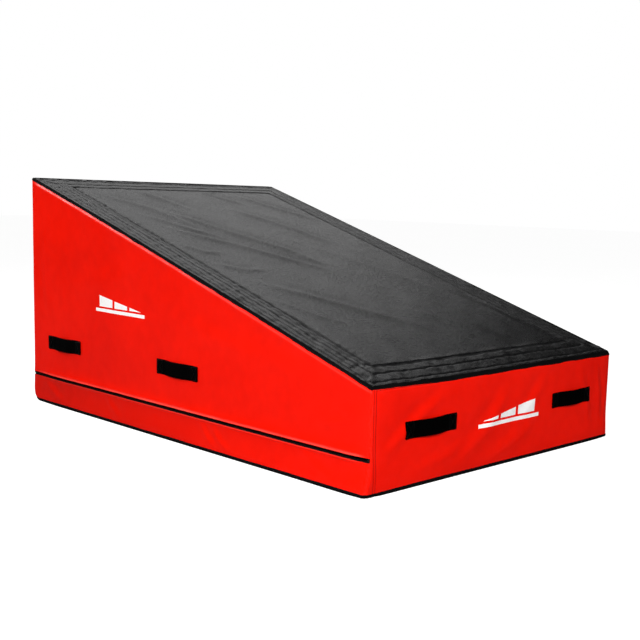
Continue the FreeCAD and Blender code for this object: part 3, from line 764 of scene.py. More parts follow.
def wall_sheet(name, side, low, high, hem_low=False, hem_high=False, s_from=None, step=0.0095):
    """One wall panel of the cover, from low to high, with rolled hems at the zipper."""
    half = HALF[side]
    s = stations(2 * half, step, 0.054 if side in ("front", "back") else 0.03) - half
    if s_from is not None:
        s = s[s >= s_from]
    n_rows = 84 if high is None or high > 0.2 else 22
    top = wall_top(side, s) - WALL_TOP_GAP if high is None else np.full(s.shape, high)
    fine = np.array([0, 0.0012, 0.0026, 0.0042, 0.006, 0.008, 0.0105, 0.0135, 0.018, 0.024])
    if np.min(top - low) < 0.12:
        rows_low = rows_high = fine[:9]
    else:
        rows_low = rows_high = fine
    count = max(6, int(round(np.max(top - low) / step)))
    mid = np.linspace(0, 1, count + 2)[1:-1]
    zs = []
    for d in rows_low:
        zs.append(np.full(s.shape, low + d))
    inner_low, inner_high = low + rows_low[-1], top - rows_high[-1]
    for t in mid:
        zs.append(inner_low + (inner_high - inner_low) * t)
    for d in rows_high[::-1]:
        zs.append(top - d)
    Z = np.array(zs).T                                   # stations by rows
    S = np.repeat(s[:, None], Z.shape[1], 1)
    P = wall_point(side, S, Z)
    U, W = S.copy(), Z.copy()
    out = wall_normal(side, S, Z)

    def hem(edge_row, up):
        """Rows that turn the cut edge under, away from the zipper."""
        base, n = P[:, edge_row], out[:, edge_row]
        rows = []
        for k, (back, inward) in enumerate(((0.0, 0.0), (-0.0006, 0.0005), (-0.0003, 0.0012), (0.0010, 0.0017), (0.0045, 0.0018))):
            if k == 0:
                continue
            q = base - n * inward
            q = q + np.array([0, 0, up * back])
            rows.append(q)
        return rows

    if hem_low:
        extra = hem(0, 1.0)
        P = np.concatenate([np.stack(extra[::-1], 1), P], 1)
        U = np.concatenate([U[:, :1]] * len(extra) + [U], 1)
        W = np.concatenate([W[:, :1] - 0.001 * (k + 1) for k in range(len(extra))][::-1] + [W], 1)
    if hem_high:
        extra = hem(-1, -1.0)
        P = np.concatenate([P, np.stack(extra, 1)], 1)
        U = np.concatenate([U] + [U[:, :1]] * len(extra), 1)
        W = np.concatenate([W] + [W[:, -1:] + 0.001 * (k + 1) for k in range(len(extra))], 1)
    ends = half - np.abs(U)
    top_gap = wall_top(side, U) - W
    wear = np.maximum(np.exp(-ends / 0.012), np.exp(-W / 0.018))
    wear = np.maximum(wear, 0.7 * np.exp(-np.maximum(top_gap - 0.01, 0) / 0.010))
    along = zip_swell(side, U) if side != "front" else 0.0 * U
    grainy = 0.78 + 0.30 * noise(U, W, 0.055, SEED[side] + 7)
    # painted highlight: a bright line on the lip above the zipper, a weaker one along the lip below it, and one under
    # the top tape
    painted_highlight = np.exp(-((W - ZIP_HIGH - 0.0026) / 0.0026) ** 2) * smooth((along - 0.12) / 0.5)
    painted_highlight = np.maximum(painted_highlight, 0.45 * np.exp(-((ZIP_LOW - 0.0012 - W) / 0.0012) ** 2) * smooth((along - 0.3) / 0.6))
    painted_highlight = np.maximum(painted_highlight, 0.40 * np.exp(-((top_gap - 0.0140) / 0.0022) ** 2) * (side != "front"))
    painted_highlight = painted_highlight * grainy
    flip = side in ("left", "back")
    ob = grid_object(name, P, RED, uv=np.stack([U, W], -1), flip=flip,
                     attributes={"wear": wear, "seam": wall_seams(side, U, W), "painted_low_shade": painted_low_shade(side, U, W),
                                 "painted_highlight": painted_highlight})
    flat_area = float(((top - low)[1:] + (top - low)[:-1]) @ np.diff(s) / 2)
    return ob, (float(s[-1] - s[0]), float(np.max(top) - low)), flat_area


SIDES = ("left", "right", "front", "back")


def finish_sheet(ob, nodes):
    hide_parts(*nodes)
    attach(ob, ROOT)


PENDING_SHEETS = []
LOW_EDGE = 0.0055
for side in ("left", "right"):
    ob, size, area = wall_sheet("cover_side_upper_" + side, side, ZIP_HIGH, None, hem_low=True)
    PENDING_SHEETS.append((ob, ["side_panel_" + side], size, area, "stretched", ["core_wedge_block"], "vinyl_red"))
    ob, size, area = wall_sheet("cover_side_lower_" + side, side, LOW_EDGE, ZIP_LOW, hem_high=True)
    PENDING_SHEETS.append((ob, ["side_band_" + side], size, area, "stretched", ["core_base_block"], "vinyl_red"))
ob, size, area = wall_sheet("cover_front", "front", LOW_EDGE, None)
PENDING_SHEETS.append((ob, ["front_panel"], size, area, "stretched", ["core_base_block"], "vinyl_red"))
ob, size, area = wall_sheet("cover_back_upper", "back", ZIP_HIGH, None, hem_low=True)
PENDING_SHEETS.append((ob, ["back_panel"], size, area, "stretched", ["core_wedge_block"], "vinyl_red"))
ob, size, area = wall_sheet("cover_back_lower", "back", LOW_EDGE, ZIP_LOW, hem_high=True)
PENDING_SHEETS.append((ob, ["back_band"], size, area, "stretched", ["core_base_block"], "vinyl_red"))

# the short closed end of the zipper opening, at the low end of each side
for side in ("left", "right"):
    s = np.linspace(-HY, TAPE_END - 0.0002, 4)
    z = np.linspace(ZIP_LOW - 0.0015, ZIP_HIGH + 0.0015, 9)
    S, Z = np.meshgrid(s, z, indexing="ij")
    P = wall_point(side, S, Z, 0.0004)
    ob = grid_object("zipper_end_cover_" + side, P, RED, uv=np.stack([S, Z], -1), flip=side == "left",
                     attributes={"wear": np.zeros(S.shape), "seam": np.zeros(S.shape), "painted_low_shade": np.zeros(S.shape)})
    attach(ob, ROOT)

# --------------------------------------------------------------- the slope
FIELD_L, FIELD_W = 2 * HY / COS - 2 * BORDER, 2 * HX - 2 * BORDER


def slack_sheet():
    """Heights of the slack woven sheet, from a short cloth simulation of the part inside the border."""
    nu, nv = 168, 92
    rng = np.random.RandomState(4)
    U, V = np.meshgrid(np.linspace(0, FIELD_L, nu), np.linspace(0, FIELD_W, nv), indexing="ij")
    rim = np.minimum(np.minimum(U, FIELD_L - U), np.minimum(V, FIELD_W - V))
    start = np.stack([U, V, 0.0015 * smooth(rim / 0.05) * (1 + rng.uniform(-0.4, 0.4, U.shape))], -1)
    # cut a little large and pulled askew: longer along its fall, sheared towards the far side
    shear = 0.012 * (V / FIELD_W - 0.5)
    rest = np.stack([U * 1.0050 + shear, V * 1.0070 + 0.006 * (U / FIELD_L - 0.5), 0 * U], -1)
    index = np.arange(nu * nv).reshape(nu, nv)
    quads = np.stack([index[:-1, :-1], index[1:, :-1], index[1:, 1:], index[:-1, 1:]], -1).reshape(-1, 4)
    ob = quad_object("slack_sim", start.reshape(-1, 3), quads, MESH)
    ob.shape_key_add(name="Basis", from_mix=False)
    key = ob.shape_key_add(name="cut", from_mix=False)
    key.data.foreach_set("co", rest.astype(np.float32).ravel())
    key.value = 0.0
    group = ob.vertex_groups.new(name="sewn")
    group.add([int(i) for i in np.flatnonzero(rim.ravel() < 1e-6)], 1.0, "REPLACE")
    bed = grid_object("slack_bed", np.stack(np.meshgrid([-0.2, FIELD_L + 0.2], [-0.2, FIELD_W + 0.2], indexing="ij")
                                            + [np.full((2, 2), -0.004)], -1), MESH)
    bed.modifiers.new("bed", "COLLISION")
    bed.collision.thickness_outer = 0.002
    mod = ob.modifiers.new("slack", "CLOTH")
    c = mod.settings
    c.quality = 5
    c.mass = 0.35
    c.tension_stiffness = c.compression_stiffness = 30
    c.shear_stiffness = 18
    c.bending_stiffness = 1.2
    c.air_damping = 3
    c.vertex_group_mass = "sewn"
    c.rest_shape_key = key
    mod.collision_settings.use_collision = True
    mod.collision_settings.distance_min = 0.002
    mod.collision_settings.collision_quality = 2
    last = 26
    mod.point_cache.frame_start, mod.point_cache.frame_end = 1, last
    SCENE.frame_start, SCENE.frame_end = 1, last
    for f in range(1, last + 1):
        SCENE.frame_set(f)
    dg = bpy.context.evaluated_depsgraph_get()
    me = ob.evaluated_get(dg).to_mesh()
    co = np.empty(nu * nv * 3, np.float32)
    me.vertices.foreach_get("co", co)
    H = co.reshape(nu, nv, 3)[..., 2].astype(float)
    ob.evaluated_get(dg).to_mesh_clear()
    for o in (ob, bed):
        bpy.data.objects.remove(o, do_unlink=True)
    SCENE.frame_set(1)
    for _ in range(2):                                   # take out the grid's own jitter
        H[1:-1, 1:-1] = (H[1:-1, 1:-1] * 4 + H[:-2, 1:-1] + H[2:, 1:-1] + H[1:-1, :-2] + H[1:-1, 2:]) / 8
    print("slack sheet heights mm: low %.2f high %.2f spread %.2f" % (H.min() * 1e3, H.max() * 1e3, H.std() * 1e3))
    if not np.isfinite(H).all() or np.abs(H).max() > 0.05:
        return None
    return np.clip(H - H.min(), 0, 0.010)


SLACK = slack_sheet()


def slack_at(u, v):
    """Simulated height at places along and across the slope, from the tall end and the left."""
    if SLACK is None:
        return np.zeros(np.shape(u))
    nu, nv = SLACK.shape
    a = np.clip((u - BORDER) / FIELD_L, 0, 1) * (nu - 1.001)
    b = np.clip((v - BORDER) / FIELD_W, 0, 1) * (nv - 1.001)
    i, j = a.astype(int), b.astype(int)
    a, b = a - i, b - j
    return ((SLACK[i, j] * (1 - a) + SLACK[i + 1, j] * a) * (1 - b)
            + (SLACK[i, j + 1] * (1 - a) + SLACK[i + 1, j + 1] * a) * b)


def slope_height(x, y):
    """How far the woven sheet stands off the true slope."""
    x, y = np.broadcast_arrays(np.asarray(x, float), np.asarray(y, float))
    left, right = x + HX, HX - x
    low, tall = (y + HY) / COS, (HY - y) / COS
    near = np.minimum(np.minimum(left, right), np.minimum(low, tall))
    u, v = tall, left                                    # along the slope from the tall end, across
    h = 0.0035 * (1 - np.exp(-np.maximum(near - 0.03, 0) / 0.16))
    field = smooth((near - BORDER + 0.004) / 0.03)
    for pts, w, a in SLOPE_FOLDS:
        h += field * ridge(u, v, pts, w * 1.45, a * 1.5)
    h += field * 0.8 * slack_at(u, v)
    h += field * (0.0013 * noise(u + 0.8 * v, v - 0.35 * u, 0.12, 71) + 0.0024 * noise(u, v, 0.36, 72))
    # the border is quilted down row by row, and puckers between the rows
    edge = 1 - field
    h += edge * 0.0008 * noise(u, v, 0.07, 74)
    side_on = smooth((np.minimum(low, tall) - np.minimum(left, right)) / 0.02)
    run, deep = np.where(side_on > 0.5, u, v), np.where(side_on > 0.5, np.minimum(left, right), np.minimum(low, tall))
    quiet = 0.35 + 0.65 * smooth((0.7 - np.minimum(left, low * 2)) / 0.5)
    h += edge * quiet * 0.0016 * noise(run + 0.35 * deep, deep * 0.45, 0.0155, 75)
    h += edge * quiet * 0.0010 * noise(run - 0.5 * deep, deep * 0.6, 0.028, 76)
    # stitched rows draw the layers down
    h -= stitch_groove(left, right, low, tall)
    return h


ROWS = (0.026, 0.072, 0.1165, 0.1100)
SIDE_ROWS = (0.0480, 0.0940)


def waver(run, seed):
    """Sewn rows are never quite straight."""
    return 0.0011 * noise(run, 0 * run, 0.085, 200 + seed) + 0.0005 * noise(run, 0 * run, 0.027, 210 + seed)


def seam_lines(left, right, low, tall, width):
    """1 on a stitched row, 0 away from it."""
    out = np.zeros(np.shape(left))
    left, right = left + waver(low, 1), right + waver(low, 2)
    low, tall = low + waver(left, 3), tall + waver(left, 4)
    for k, row in enumerate(ROWS):
        for d, a, b in ((left, low, tall), (right, low, tall), (low, left, right), (tall, left, right)):
            ends = smooth((np.minimum(a, b) - row + 0.006) / 0.008)
            out = np.maximum(out, (0.75, 0.90, 1.0, 0.8)[k] * ends * np.exp(-((d - row) / width) ** 2))
    for row in SIDE_ROWS:
        for d, a, b in ((left, low, tall), (right, low, tall)):
            ends = smooth((np.minimum(a, b) - BORDER + 0.004) / 0.006)
            out = np.maximum(out, 0.45 * ends * np.exp(-((d - row) / width) ** 2))
    return out * (0.78 + 0.22 * noise(left + 0.6 * low, low - 0.6 * left, 0.014, 230))


def stitch_groove(left, right, low, tall):
    return 0.0034 * seam_lines(left, right, low, tall, 0.0038)


def slope_seams(X, Y):
    return seam_lines(X + HX, HX - X, (Y + HY) / COS, (HY - Y) / COS, 0.0030)


def S2(points):
    """Fold points measured along the slope from the tall end and across from the left, in 0.8 mm units."""
    return [(x / 800.0, y / 800.0 * 0.976) for x, y in points]


SLOPE_FOLDS = [
    (S2([(420, 130), (640, 330), (930, 560)]), 0.015, 0.0046),
    (S2([(180, 190), (440, 345), (700, 490), (940, 570)]), 0.015, 0.0048),
    (S2([(80, 310), (330, 410)]), 0.014, 0.0040),
    (S2([(240, 540), (480, 665), (720, 770)]), 0.015, 0.0046),
    (S2([(80, 560), (270, 700)]), 0.014, 0.0036),
    (S2([(100, 690), (270, 790), (430, 910)]), 0.014, 0.0040),
    (S2([(600, 120), (690, 170), (690, 250)]), 0.012, 0.0036),
    (S2([(760, 120), (830, 200), (830, 300)]), 0.012, 0.0034),
    (S2([(870, 130), (1080, 320), (1300, 490)]), 0.018, 0.0044),
    (S2([(1000, 110), (1120, 165), (1230, 230)]), 0.013, 0.0034),
    (S2([(300, 120), (520, 290), (700, 400)]), 0.012, 0.0028),
    (S2([(110, 130), (300, 240), (520, 330)]), 0.012, 0.0030),
    (S2([(560, 560), (820, 690), (1060, 780)]), 0.018, 0.0030),
    (S2([(900, 760), (1180, 850), (1380, 870)]), 0.020, 0.0026),
    (S2([(1120, 520), (1280, 640), (1400, 700)]), 0.018, 0.0024),
]


def slope_point(x, y, off=0.0):
    x, y = np.broadcast_arrays(np.asarray(x, float), np.asarray(y, float))
    P, n = soften(np.stack([x, y, top_z(y)], -1))
    return P + n * (slope_height(x, y) + off)[..., None]


GAP = 0.0055                                             # the sheet's edge is under the binding
STEP = 0.0085
xs = stations(2 * (HX - GAP), STEP, 0.128, 0.0020) - (HX - GAP)
ys = stations(2 * (HY - GAP), STEP, 0.128, 0.0020) - (HY - GAP)
X, Y = np.meshgrid(xs, ys, indexing="ij")
near = np.minimum(np.minimum(X + HX, HX - X), np.minimum(Y + HY, HY - Y) / COS)
P = slope_point(X, Y, -0.0016 * (1 - smooth((near - BORDER + 0.001) / 0.004)))
top_sheet = grid_object("top_sheet_mesh", P, MESH, uv=np.stack([X, Y / COS], -1), attributes={"seam": slope_seams(X, Y)})
PENDING_SHEETS.append((top_sheet, ["top_sheet"], (2 * (HX - GAP), 2 * (HY - GAP) / COS), None, "stretched",
                       ["core_top_layer"], "mesh_black"))

# border facings: side pieces run the full length, end pieces between them
def facing(name, across, along, node_name):
    X, Y = np.meshgrid(across, along, indexing="ij")
    P = slope_point(X, Y, 0.0)
    ob = grid_object(name, P, FACING, uv=np.stack([X, Y / COS], -1), attributes={"seam": slope_seams(X, Y)})
    PENDING_SHEETS.append((ob, [node_name], (float(across[-1] - across[0]), float((along[-1] - along[0]) / COS)), None,
                           "laid", ["top_sheet_mesh"], "mesh_black"))
    return ob


strip = np.concatenate([np.arange(GAP, BORDER - 0.0025, 0.0018), [BORDER - 0.002, BORDER - 0.0004]])
strip_y = np.concatenate([np.arange(GAP * 1.0, BORDER - 0.0025, 0.0018), [BORDER - 0.002, BORDER - 0.0004]]) * COS
facing("top_border_near", strip - HX, ys, "top_border_left")
facing("top_border_far", (HX - strip)[::-1], ys, "top_border_right")
inner_xs = xs[np.abs(xs) < HX - BORDER + 0.004]
facing("top_border_low_end", inner_xs, strip_y - HY, "top_border_low")
facing("top_border_tall_end", inner_xs, (HY - strip_y)[::-1], "top_border_tall")

# --------------------------------------------------------------- underside
xs_b = stations(2 * (HX - 0.006), 0.03, 0.03, 0.005) - (HX - 0.006)
ys_b = stations(2 * (HY - 0.006), 0.03, 0.03, 0.005) - (HY - 0.006)
X, Y = np.meshgrid(xs_b, ys_b, indexing="ij")
P, n = soften(np.stack([X, Y, np.zeros(X.shape)], -1))
P[..., 2] = np.maximum(P[..., 2], 0) + 0.0003
bottom = grid_object("bottom_sheet_non_slip", P, UNDER, uv=np.stack([X, Y], -1), flip=True)
PENDING_SHEETS.append((bottom, ["bottom_sheet"], (2 * (HX - 0.006), 2 * (HY - 0.006)), None, "stretched",
                       ["core_base_block"], "bottom_black"))

# ---------------------------------------------------------------- bindings
def binding_top(name, side, node_name):
    """Tape folded over the top edge: on the wall, over the edge, onto the slope."""
    half = HALF[side]
    front = side in ("front", "back")
    s = stations(2 * half, 0.010, 0.03, 0.004) - half
    wall = 0.0115 if side == "front" else 0.0082
    over = 0.0085
    k = np.linspace(0, 1, 8)
    wall_d = wall * (1 - k)                              # from the lower edge up to the ideal edge
    top_d = over * np.linspace(0, 1, 8)[1:]
    rows = []
    wave = (0.0017 if side == "front" else 0.0009) * noise(s, 0 * s, 0.06, SEED[side] + 5) + 0.0006 * noise(s, 0 * s, 0.021, SEED[side] + 6)
    lift_wall = [-0.0012, 0.0009] + [0.0014] * 6
    lift_top = [0.0014] * 5 + [0.0010, -0.0010]
    thin = 1 - 0.42 * np.exp(-((s + half) / 0.16) ** 2) * (side == "front")   # narrower by the left corner
    for d, off in zip(wall_d, lift_wall):
        z = wall_top(side, s) - d * thin - wave * (d / wall)
        rows.append(wall_point(side, s, z, off + 0.0 * s))
    for d, off in zip(top_d, lift_top):
        dd = d + wave * (d / over)
        if side == "left":
            x, y = -HX + dd, s * (1 - dd / HY)
        elif side == "right":
            x, y = HX - dd, s * (1 - dd / HY)
        elif side == "front":
            x, y = s * (1 - dd / HX), -HY + dd * COS
        else:
            x, y = s * (1 - dd / HX), HY - dd * COS
        P, n = soften(np.stack([x + 0 * s, y + 0 * s, top_z(y) + 0 * s], -1))
        rows.append(P + n * off)
    P = np.stack(rows, 1)
    across = np.concatenate([wall_d[::-1] * 0 + (wall - wall_d), wall + top_d])
    U, W = np.meshgrid(s, across, indexing="ij")
    ob = grid_object(name, P, BIND, uv=np.stack([U, W], -1), flip=side in ("left", "back"))
    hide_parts(node_name)
    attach(ob, ROOT)
    return ob


def match_edge(side, s):
    """At the edge itself the wall and the slope are one place."""
    return wall_top(side, s)


binding_objects = [
    binding_top("edge_tape_left", "left", "top_binding_left"),
    binding_top("edge_tape_right", "right", "top_binding_right"),
    binding_top("edge_tape_front", "front", "top_binding_front"),
    binding_top("edge_tape_back", "back", "top_binding_back"),
]

# bottom tape, one run round the footprint
runs = []
for side, direction in (("front", 1), ("right", 1), ("back", -1), ("left", -1)):
    half = HALF[side]
    s = (stations(2 * half, 0.012, 0.03, 0.004) - half)[::direction]
    tape_rows = []
    z_rows = np.array([0.0112, 0.0108, 0.0085, 0.0060, 0.0034, 0.0012])
    offs = np.array([-0.0008, 0.0013, 0.0020, 0.0026, 0.0031, 0.0031])
    wave = 0.0007 * noise(s, 0 * s, 0.09, SEED[side] + 8)
    for z, off in zip(z_rows, offs):
        Q = wall_point(side, s, np.full(s.shape, z) + wave * (z > 0.005), off + 0 * s)
        Q[:, 2] = np.maximum(Q[:, 2], 0.0)
        tape_rows.append(Q)
    for d in (0.004, 0.009):
        if side == "left":
            q = np.stack([np.full(s.shape, -HX + d), s * (1 - d / HY), 0 * s], -1)
        elif side == "right":
            q = np.stack([np.full(s.shape, HX - d), s * (1 - d / HY), 0 * s], -1)
        elif side == "front":
            q = np.stack([s * (1 - d / HX), np.full(s.shape, -HY + d), 0 * s], -1)
        else:
            q = np.stack([s * (1 - d / HX), np.full(s.shape, HY - d), 0 * s], -1)
        Q, _ = soften(q)
        Q[:, 2] = 0.0
        tape_rows.append(Q)
    runs.append(np.stack(tape_rows, 1)[:-1])
P = np.concatenate(runs, 0)
along = np.concatenate([[0], np.cumsum(np.linalg.norm(np.diff(P[:, 2], axis=0), axis=1))])
U, W = np.meshgrid(along, np.linspace(0, 0.02, P.shape[1]), indexing="ij")
bottom_tape = grid_object("edge_tape_bottom", P, BIND, uv=np.stack([U, W], -1), close_u=True, flip=True)
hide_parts("bottom_binding")
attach(bottom_tape, ROOT)

# ------------------------------------------------------------------ stitches
def stitches(name, places, normals, material, length=0.0042, gap=0.0014, thick=0.0009, lift=0.0003):
    """Thread along polylines: each stitch a small capsule that dips at its ends."""
    verts, quads = [], []
    count = 0
    for line, norm in zip(places, normals):
        d = np.concatenate([[0], np.cumsum(np.linalg.norm(np.diff(line, axis=0), axis=1))])
        if d[-1] < length:
            continue
        starts = np.arange(0.001, d[-1] - length, length + gap)
        if not len(starts):
            continue
        def at(t):
            return np.stack([np.interp(t, d, line[:, k]) for k in range(3)], -1)
        def nat(t):
            q = np.stack([np.interp(t, d, norm[:, k]) for k in range(3)], -1)
            return q / np.linalg.norm(q, axis=-1, keepdims=True)
        a, b = at(starts), at(starts + length)
        n = nat(starts + length / 2)
        t = b - a
        t /= np.linalg.norm(t, axis=-1, keepdims=True)
        w = np.cross(n, t)
        w /= np.linalg.norm(w, axis=-1, keepdims=True)
        rings = []
        for f, r, up in ((0.0, 0.35, -0.6), (0.12, 0.85, -0.1), (0.5, 1.0, 0.35), (0.88, 0.85, -0.1), (1.0, 0.35, -0.6)):
            c = a + (b - a) * f + n * (lift + thick / 2 * up)
            rings.append(np.stack([c + (w * math.cos(q) + n * math.sin(q)) * (thick / 2 * r)
                                   for q in (0, math.pi / 2, math.pi, 3 * math.pi / 2)], 1))
        V = np.stack(rings, 1)                           # stitches, rings, 4, 3
        m = V.shape[0]
        verts.append(V.reshape(-1, 3))
        base = count + np.arange(m)[:, None] * 20
        q = []
        for r in range(4):
            for k in range(4):
                nxt = (k + 1) % 4
                q.append([r * 4 + k, r * 4 + nxt, (r + 1) * 4 + nxt, (r + 1) * 4 + k])
        q.append([3, 2, 1, 0])
        q.append([16, 17, 18, 19])
        q = np.array(q)
        quads.append((base[:, :, None] + q[None]).reshape(-1, 4))
        count += m * 20
    return quad_object(name, np.concatenate(verts), np.concatenate(quads), material)


def slope_line(x, y):
    P = slope_point(x, y, 0.0)
    n = np.broadcast_to(NORMALS[4], P.shape).copy()
    return P, n


rows, norms = [], []
for row in ROWS:
    for k in (0.0,):
        r = row + k
        y = np.linspace(-HY + r * COS, HY - r * COS, 700)
        low = (y + HY) / COS
        for x in (-HX + r - waver(low, 1), HX - r + waver(low, 2)):
            p, n = slope_line(x, y)
            rows.append(p); norms.append(n)
        x = np.linspace(-HX + r, HX - r, 480)
        left = x + HX + waver(np.full(x.shape, r), 1)
        for yy in (-HY + (r - waver(left, 3)) * COS, HY - (r - waver(left, 4)) * COS):
            p, n = slope_line(x, yy)
            rows.append(p); norms.append(n)
for r in SIDE_ROWS:
    y = np.linspace(-HY + BORDER * COS, HY - BORDER * COS, 640)
    low = (y + HY) / COS
    for x in (-HX + r - waver(low, 1), HX - r + waver(low, 2)):
        p, n = slope_line(x, y)
        rows.append(p); norms.append(n)
# bar tacks at the inner corners of the border
for sx in (-1, 1):
    for sy in (-1, 1):
        for k in range(9):
            d = 0.1165 + 0.0013 * k
            x = np.linspace(HX - 0.1105, HX - 0.1265, 8) * sx
            p, n = slope_line(x, np.full(x.shape, sy * (HY - d * COS)))
            rows.append(p + n * 0.0006); norms.append(n)
border_thread = stitches("border_topstitch", rows, norms, THREAD_BLACK, length=0.0052, gap=0.0016, thick=0.0011)
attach(border_thread, ROOT)

# double topstitching beside the corner seams and one row under the edge tape
rows, norms, rows_zip, norms_zip = [], [], [], []
for side in SIDES:
    half = HALF[side]
    for sign in (-1, 1):
        for d in CORNER_ROWS[side]:
            lo = LOW_EDGE + 0.004
            hi = float(wall_top(side, np.array(sign * (half - d)))) - 0.014
            z = np.linspace(lo, hi, 200)
            if side != "front":
                parts = [z[z < ZIP_LOW - 0.004], z[z > ZIP_HIGH + 0.004]]
            else:
                parts = [z]
            for zz in parts:
                s = sign * (half - d - row_shift(side, sign * half + 0 * zz, zz))
                rows.append(wall_point(side, s, zz)); norms.append(wall_normal(side, s, zz))
    s = np.linspace(-half + 0.02, half - 0.02, 500)
    if side != "front":
        rows, norms, rows_corner, norms_corner = rows_zip, norms_zip, rows, norms
        for zz in (ZIP_HIGH + 0.0070, ZIP_LOW - 0.0070):
            z = np.full(s.shape, zz)
            rows.append(wall_point(side, s, z)); norms.append(wall_normal(side, s, z))
        rows, norms = rows_corner, norms_corner
zip_thread = stitches("zipper_topstitch", rows_zip, norms_zip, THREAD_BRIGHT, lift=0.0001)
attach(zip_thread, ROOT)
seam_thread = stitches("seam_topstitch", rows, norms, THREAD_RED, lift=0.0001)
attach(seam_thread, ROOT)

rows, norms = [], []
for side in SIDES:
    half = HALF[side]
    s = np.linspace(-half + 0.015, half - 0.015, 600)
    z = wall_top(side, s) - (0.0088 if side == "front" else 0.0058)
    rows.append(wall_point(side, s, z, 0.0015 + 0 * s)); norms.append(wall_normal(side, s, z))
tape_thread = stitches("edge_tape_topstitch", rows, norms, THREAD_BLACK, lift=0.0001)
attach(tape_thread, ROOT)

# ------------------------------------------------------------------- zipper
def corner_run(step):
    """Places along the zipper: left wall, round the back, right wall, as (side, s) pairs."""
    out = []
    y = np.arange(ZIP_END, HY - 1e-6, step)
    out += [("left", v) for v in y]
    x = np.arange(-HX, HX - 1e-6, step)
    out += [("back", v) for v in x]
    out += [("right", v) for v in y[::-1]]
    return out


def run_points(z, off, step=0.004, start=None):
    """Points and outward directions along the zipper at a height, smoothed round the corners."""
    y = np.concatenate([np.arange(ZIP_END if start is None else start, HY - 0.03, step), np.arange(HY - 0.03, HY, 0.002), [HY]])
    x = np.concatenate([[-HX], np.arange(-HX + 0.002, -HX + 0.03, 0.002), np.arange(-HX + 0.03, HX - 0.03, step),
                        np.arange(HX - 0.03, HX, 0.002), [HX]])
    P, N = [], []
    for side, s in (("left", y), ("back", x), ("right", y[::-1])):
        zz = np.full(s.shape, z)
        Q, n = soften(ideal(side, s, zz))
        P.append(Q + n * (0.0032 * zip_swell(side, s) + 0.0008)[:, None])
        N.append(n)
    P = np.concatenate([P[0][:-1], P[1][:-1], P[2]])
    N = np.concatenate([N[0][:-1], N[1][:-1], N[2]])
    return P + N * off, N


def zipper_tape(name, z0, z1, node_name, depth=-0.0030):
    rows = []
    zs = np.linspace(z0, z1, 6)
    for z in zs:
        P, N = run_points(z, depth, start=TAPE_END)
        rows.append(P)
    P = np.stack(rows, 1)
    d = np.concatenate([[0], np.cumsum(np.linalg.norm(np.diff(P[:, 0], axis=0), axis=1))])
    U, W = np.meshgrid(d, zs, indexing="ij")
    ob = grid_object(name, P, TAPE, uv=np.stack([U, W], -1), flip=True)
    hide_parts(node_name)
    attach(ob, ROOT)
    return ob


t_lo, t_hi = box("zipper_tape_lower")
zipper_tape("zip_tape_lower", t_lo[2], t_hi[2] + 0.0011, "zipper_tape_lower", -0.0034)
t_lo, t_hi = box("zipper_tape_upper")
zipper_tape("zip_tape_upper", t_lo[2] - 0.0011, t_hi[2], "zipper_tape_upper")


def zipper_coil(name, z0, z1, shift, node_name):
    """One half of the coil: a row of rounded turns along the zipper."""
    pitch = 0.0022
    mid = (z0 + z1) / 2
    P, N = run_points(mid, -0.0030)
    d = np.concatenate([[0], np.cumsum(np.linalg.norm(np.diff(P, axis=0), axis=1))])
    t = np.arange(pitch * (0.5 + shift), d[-1] - pitch, pitch)
    C = np.stack([np.interp(t, d, P[:, k]) for k in range(3)], -1)
    n = np.stack([np.interp(t, d, N[:, k]) for k in range(3)], -1)
    n /= np.linalg.norm(n, axis=-1, keepdims=True)
    up = np.broadcast_to(np.array([0, 0, 1.0]), n.shape)
    run = np.cross(up, n)
    half_h = (z1 - z0) / 2
    deep = 0.0026
    ring = []
    # an octagonal lug, rounded over its outer face
    prof = [(-1, 0.0), (-1, 0.62), (-0.62, 1.0), (0.62, 1.0), (1, 0.62), (1, 0.0)]
    wide = pitch * 0.36
    rings = []
    for e, k in ((-1.0, 0.55), (-0.6, 1.0), (0.6, 1.0), (1.0, 0.55)):
        pts = []
        for a, b in prof:
            pts.append(C + up * (a * half_h * (0.78 + 0.22 * k)) + n * (deep * b * (0.8 + 0.2 * k)) + run * (wide * e))
        rings.append(np.stack(pts, 1))
    V = np.stack(rings, 1)                               # lugs, 4 rings, 6 points
    m = V.shape[0]
    q = []
    for r in range(3):
        for a in range(5):
            q.append([r * 6 + a, (r + 1) * 6 + a, (r + 1) * 6 + a + 1, r * 6 + a + 1])
        q.append([r * 6 + 5, (r + 1) * 6 + 5, (r + 1) * 6, r * 6])
    for o, f in ((0, False), (18, True)):
        for quad in ([0, 1, 4, 5], [1, 2, 3, 4]):
            quad = [o + v for v in quad]
            q.append(quad[::-1] if f else quad)
    q = np.array(q)
    quads = (np.arange(m)[:, None, None] * 24 + q[None]).reshape(-1, 4)
    ob = quad_object(name, V.reshape(-1, 3), quads, COIL)
    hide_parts(node_name)
    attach(ob, ROOT)
    return ob


c_lo, c_hi = box("zipper_coil_upper")
zipper_coil("zip_coil_upper", c_lo[2] - 0.0004, c_hi[2], 0.0, "zipper_coil_upper")
c_lo, c_hi = box("zipper_coil_lower")
zipper_coil("zip_coil_lower", c_lo[2], c_hi[2] + 0.0004, 0.5, "zipper_coil_lower")

# --------------------------------------------------------- CAD parts that stay
for name in ("zipper_end_stops", "slider_left", "slider_right", "pull_tab_left", "pull_tab_right"):
    ob = frame["nodes"][name]
    for place in ob.material_slots:
        place.material = METAL

# -------------------------------------------------------------------- handles
BODY_OF = {}
for b, obj in frame["bodies"].items():
    BODY_OF[b] = obj
HANDLES = [n for n in frame["nodes"] if n.startswith("handle_") and not n.startswith(("handle_ends", "handle_backing"))]
SEWN = {}
for side in SIDES:
    SEWN[side] = box("handle_ends_" + side)


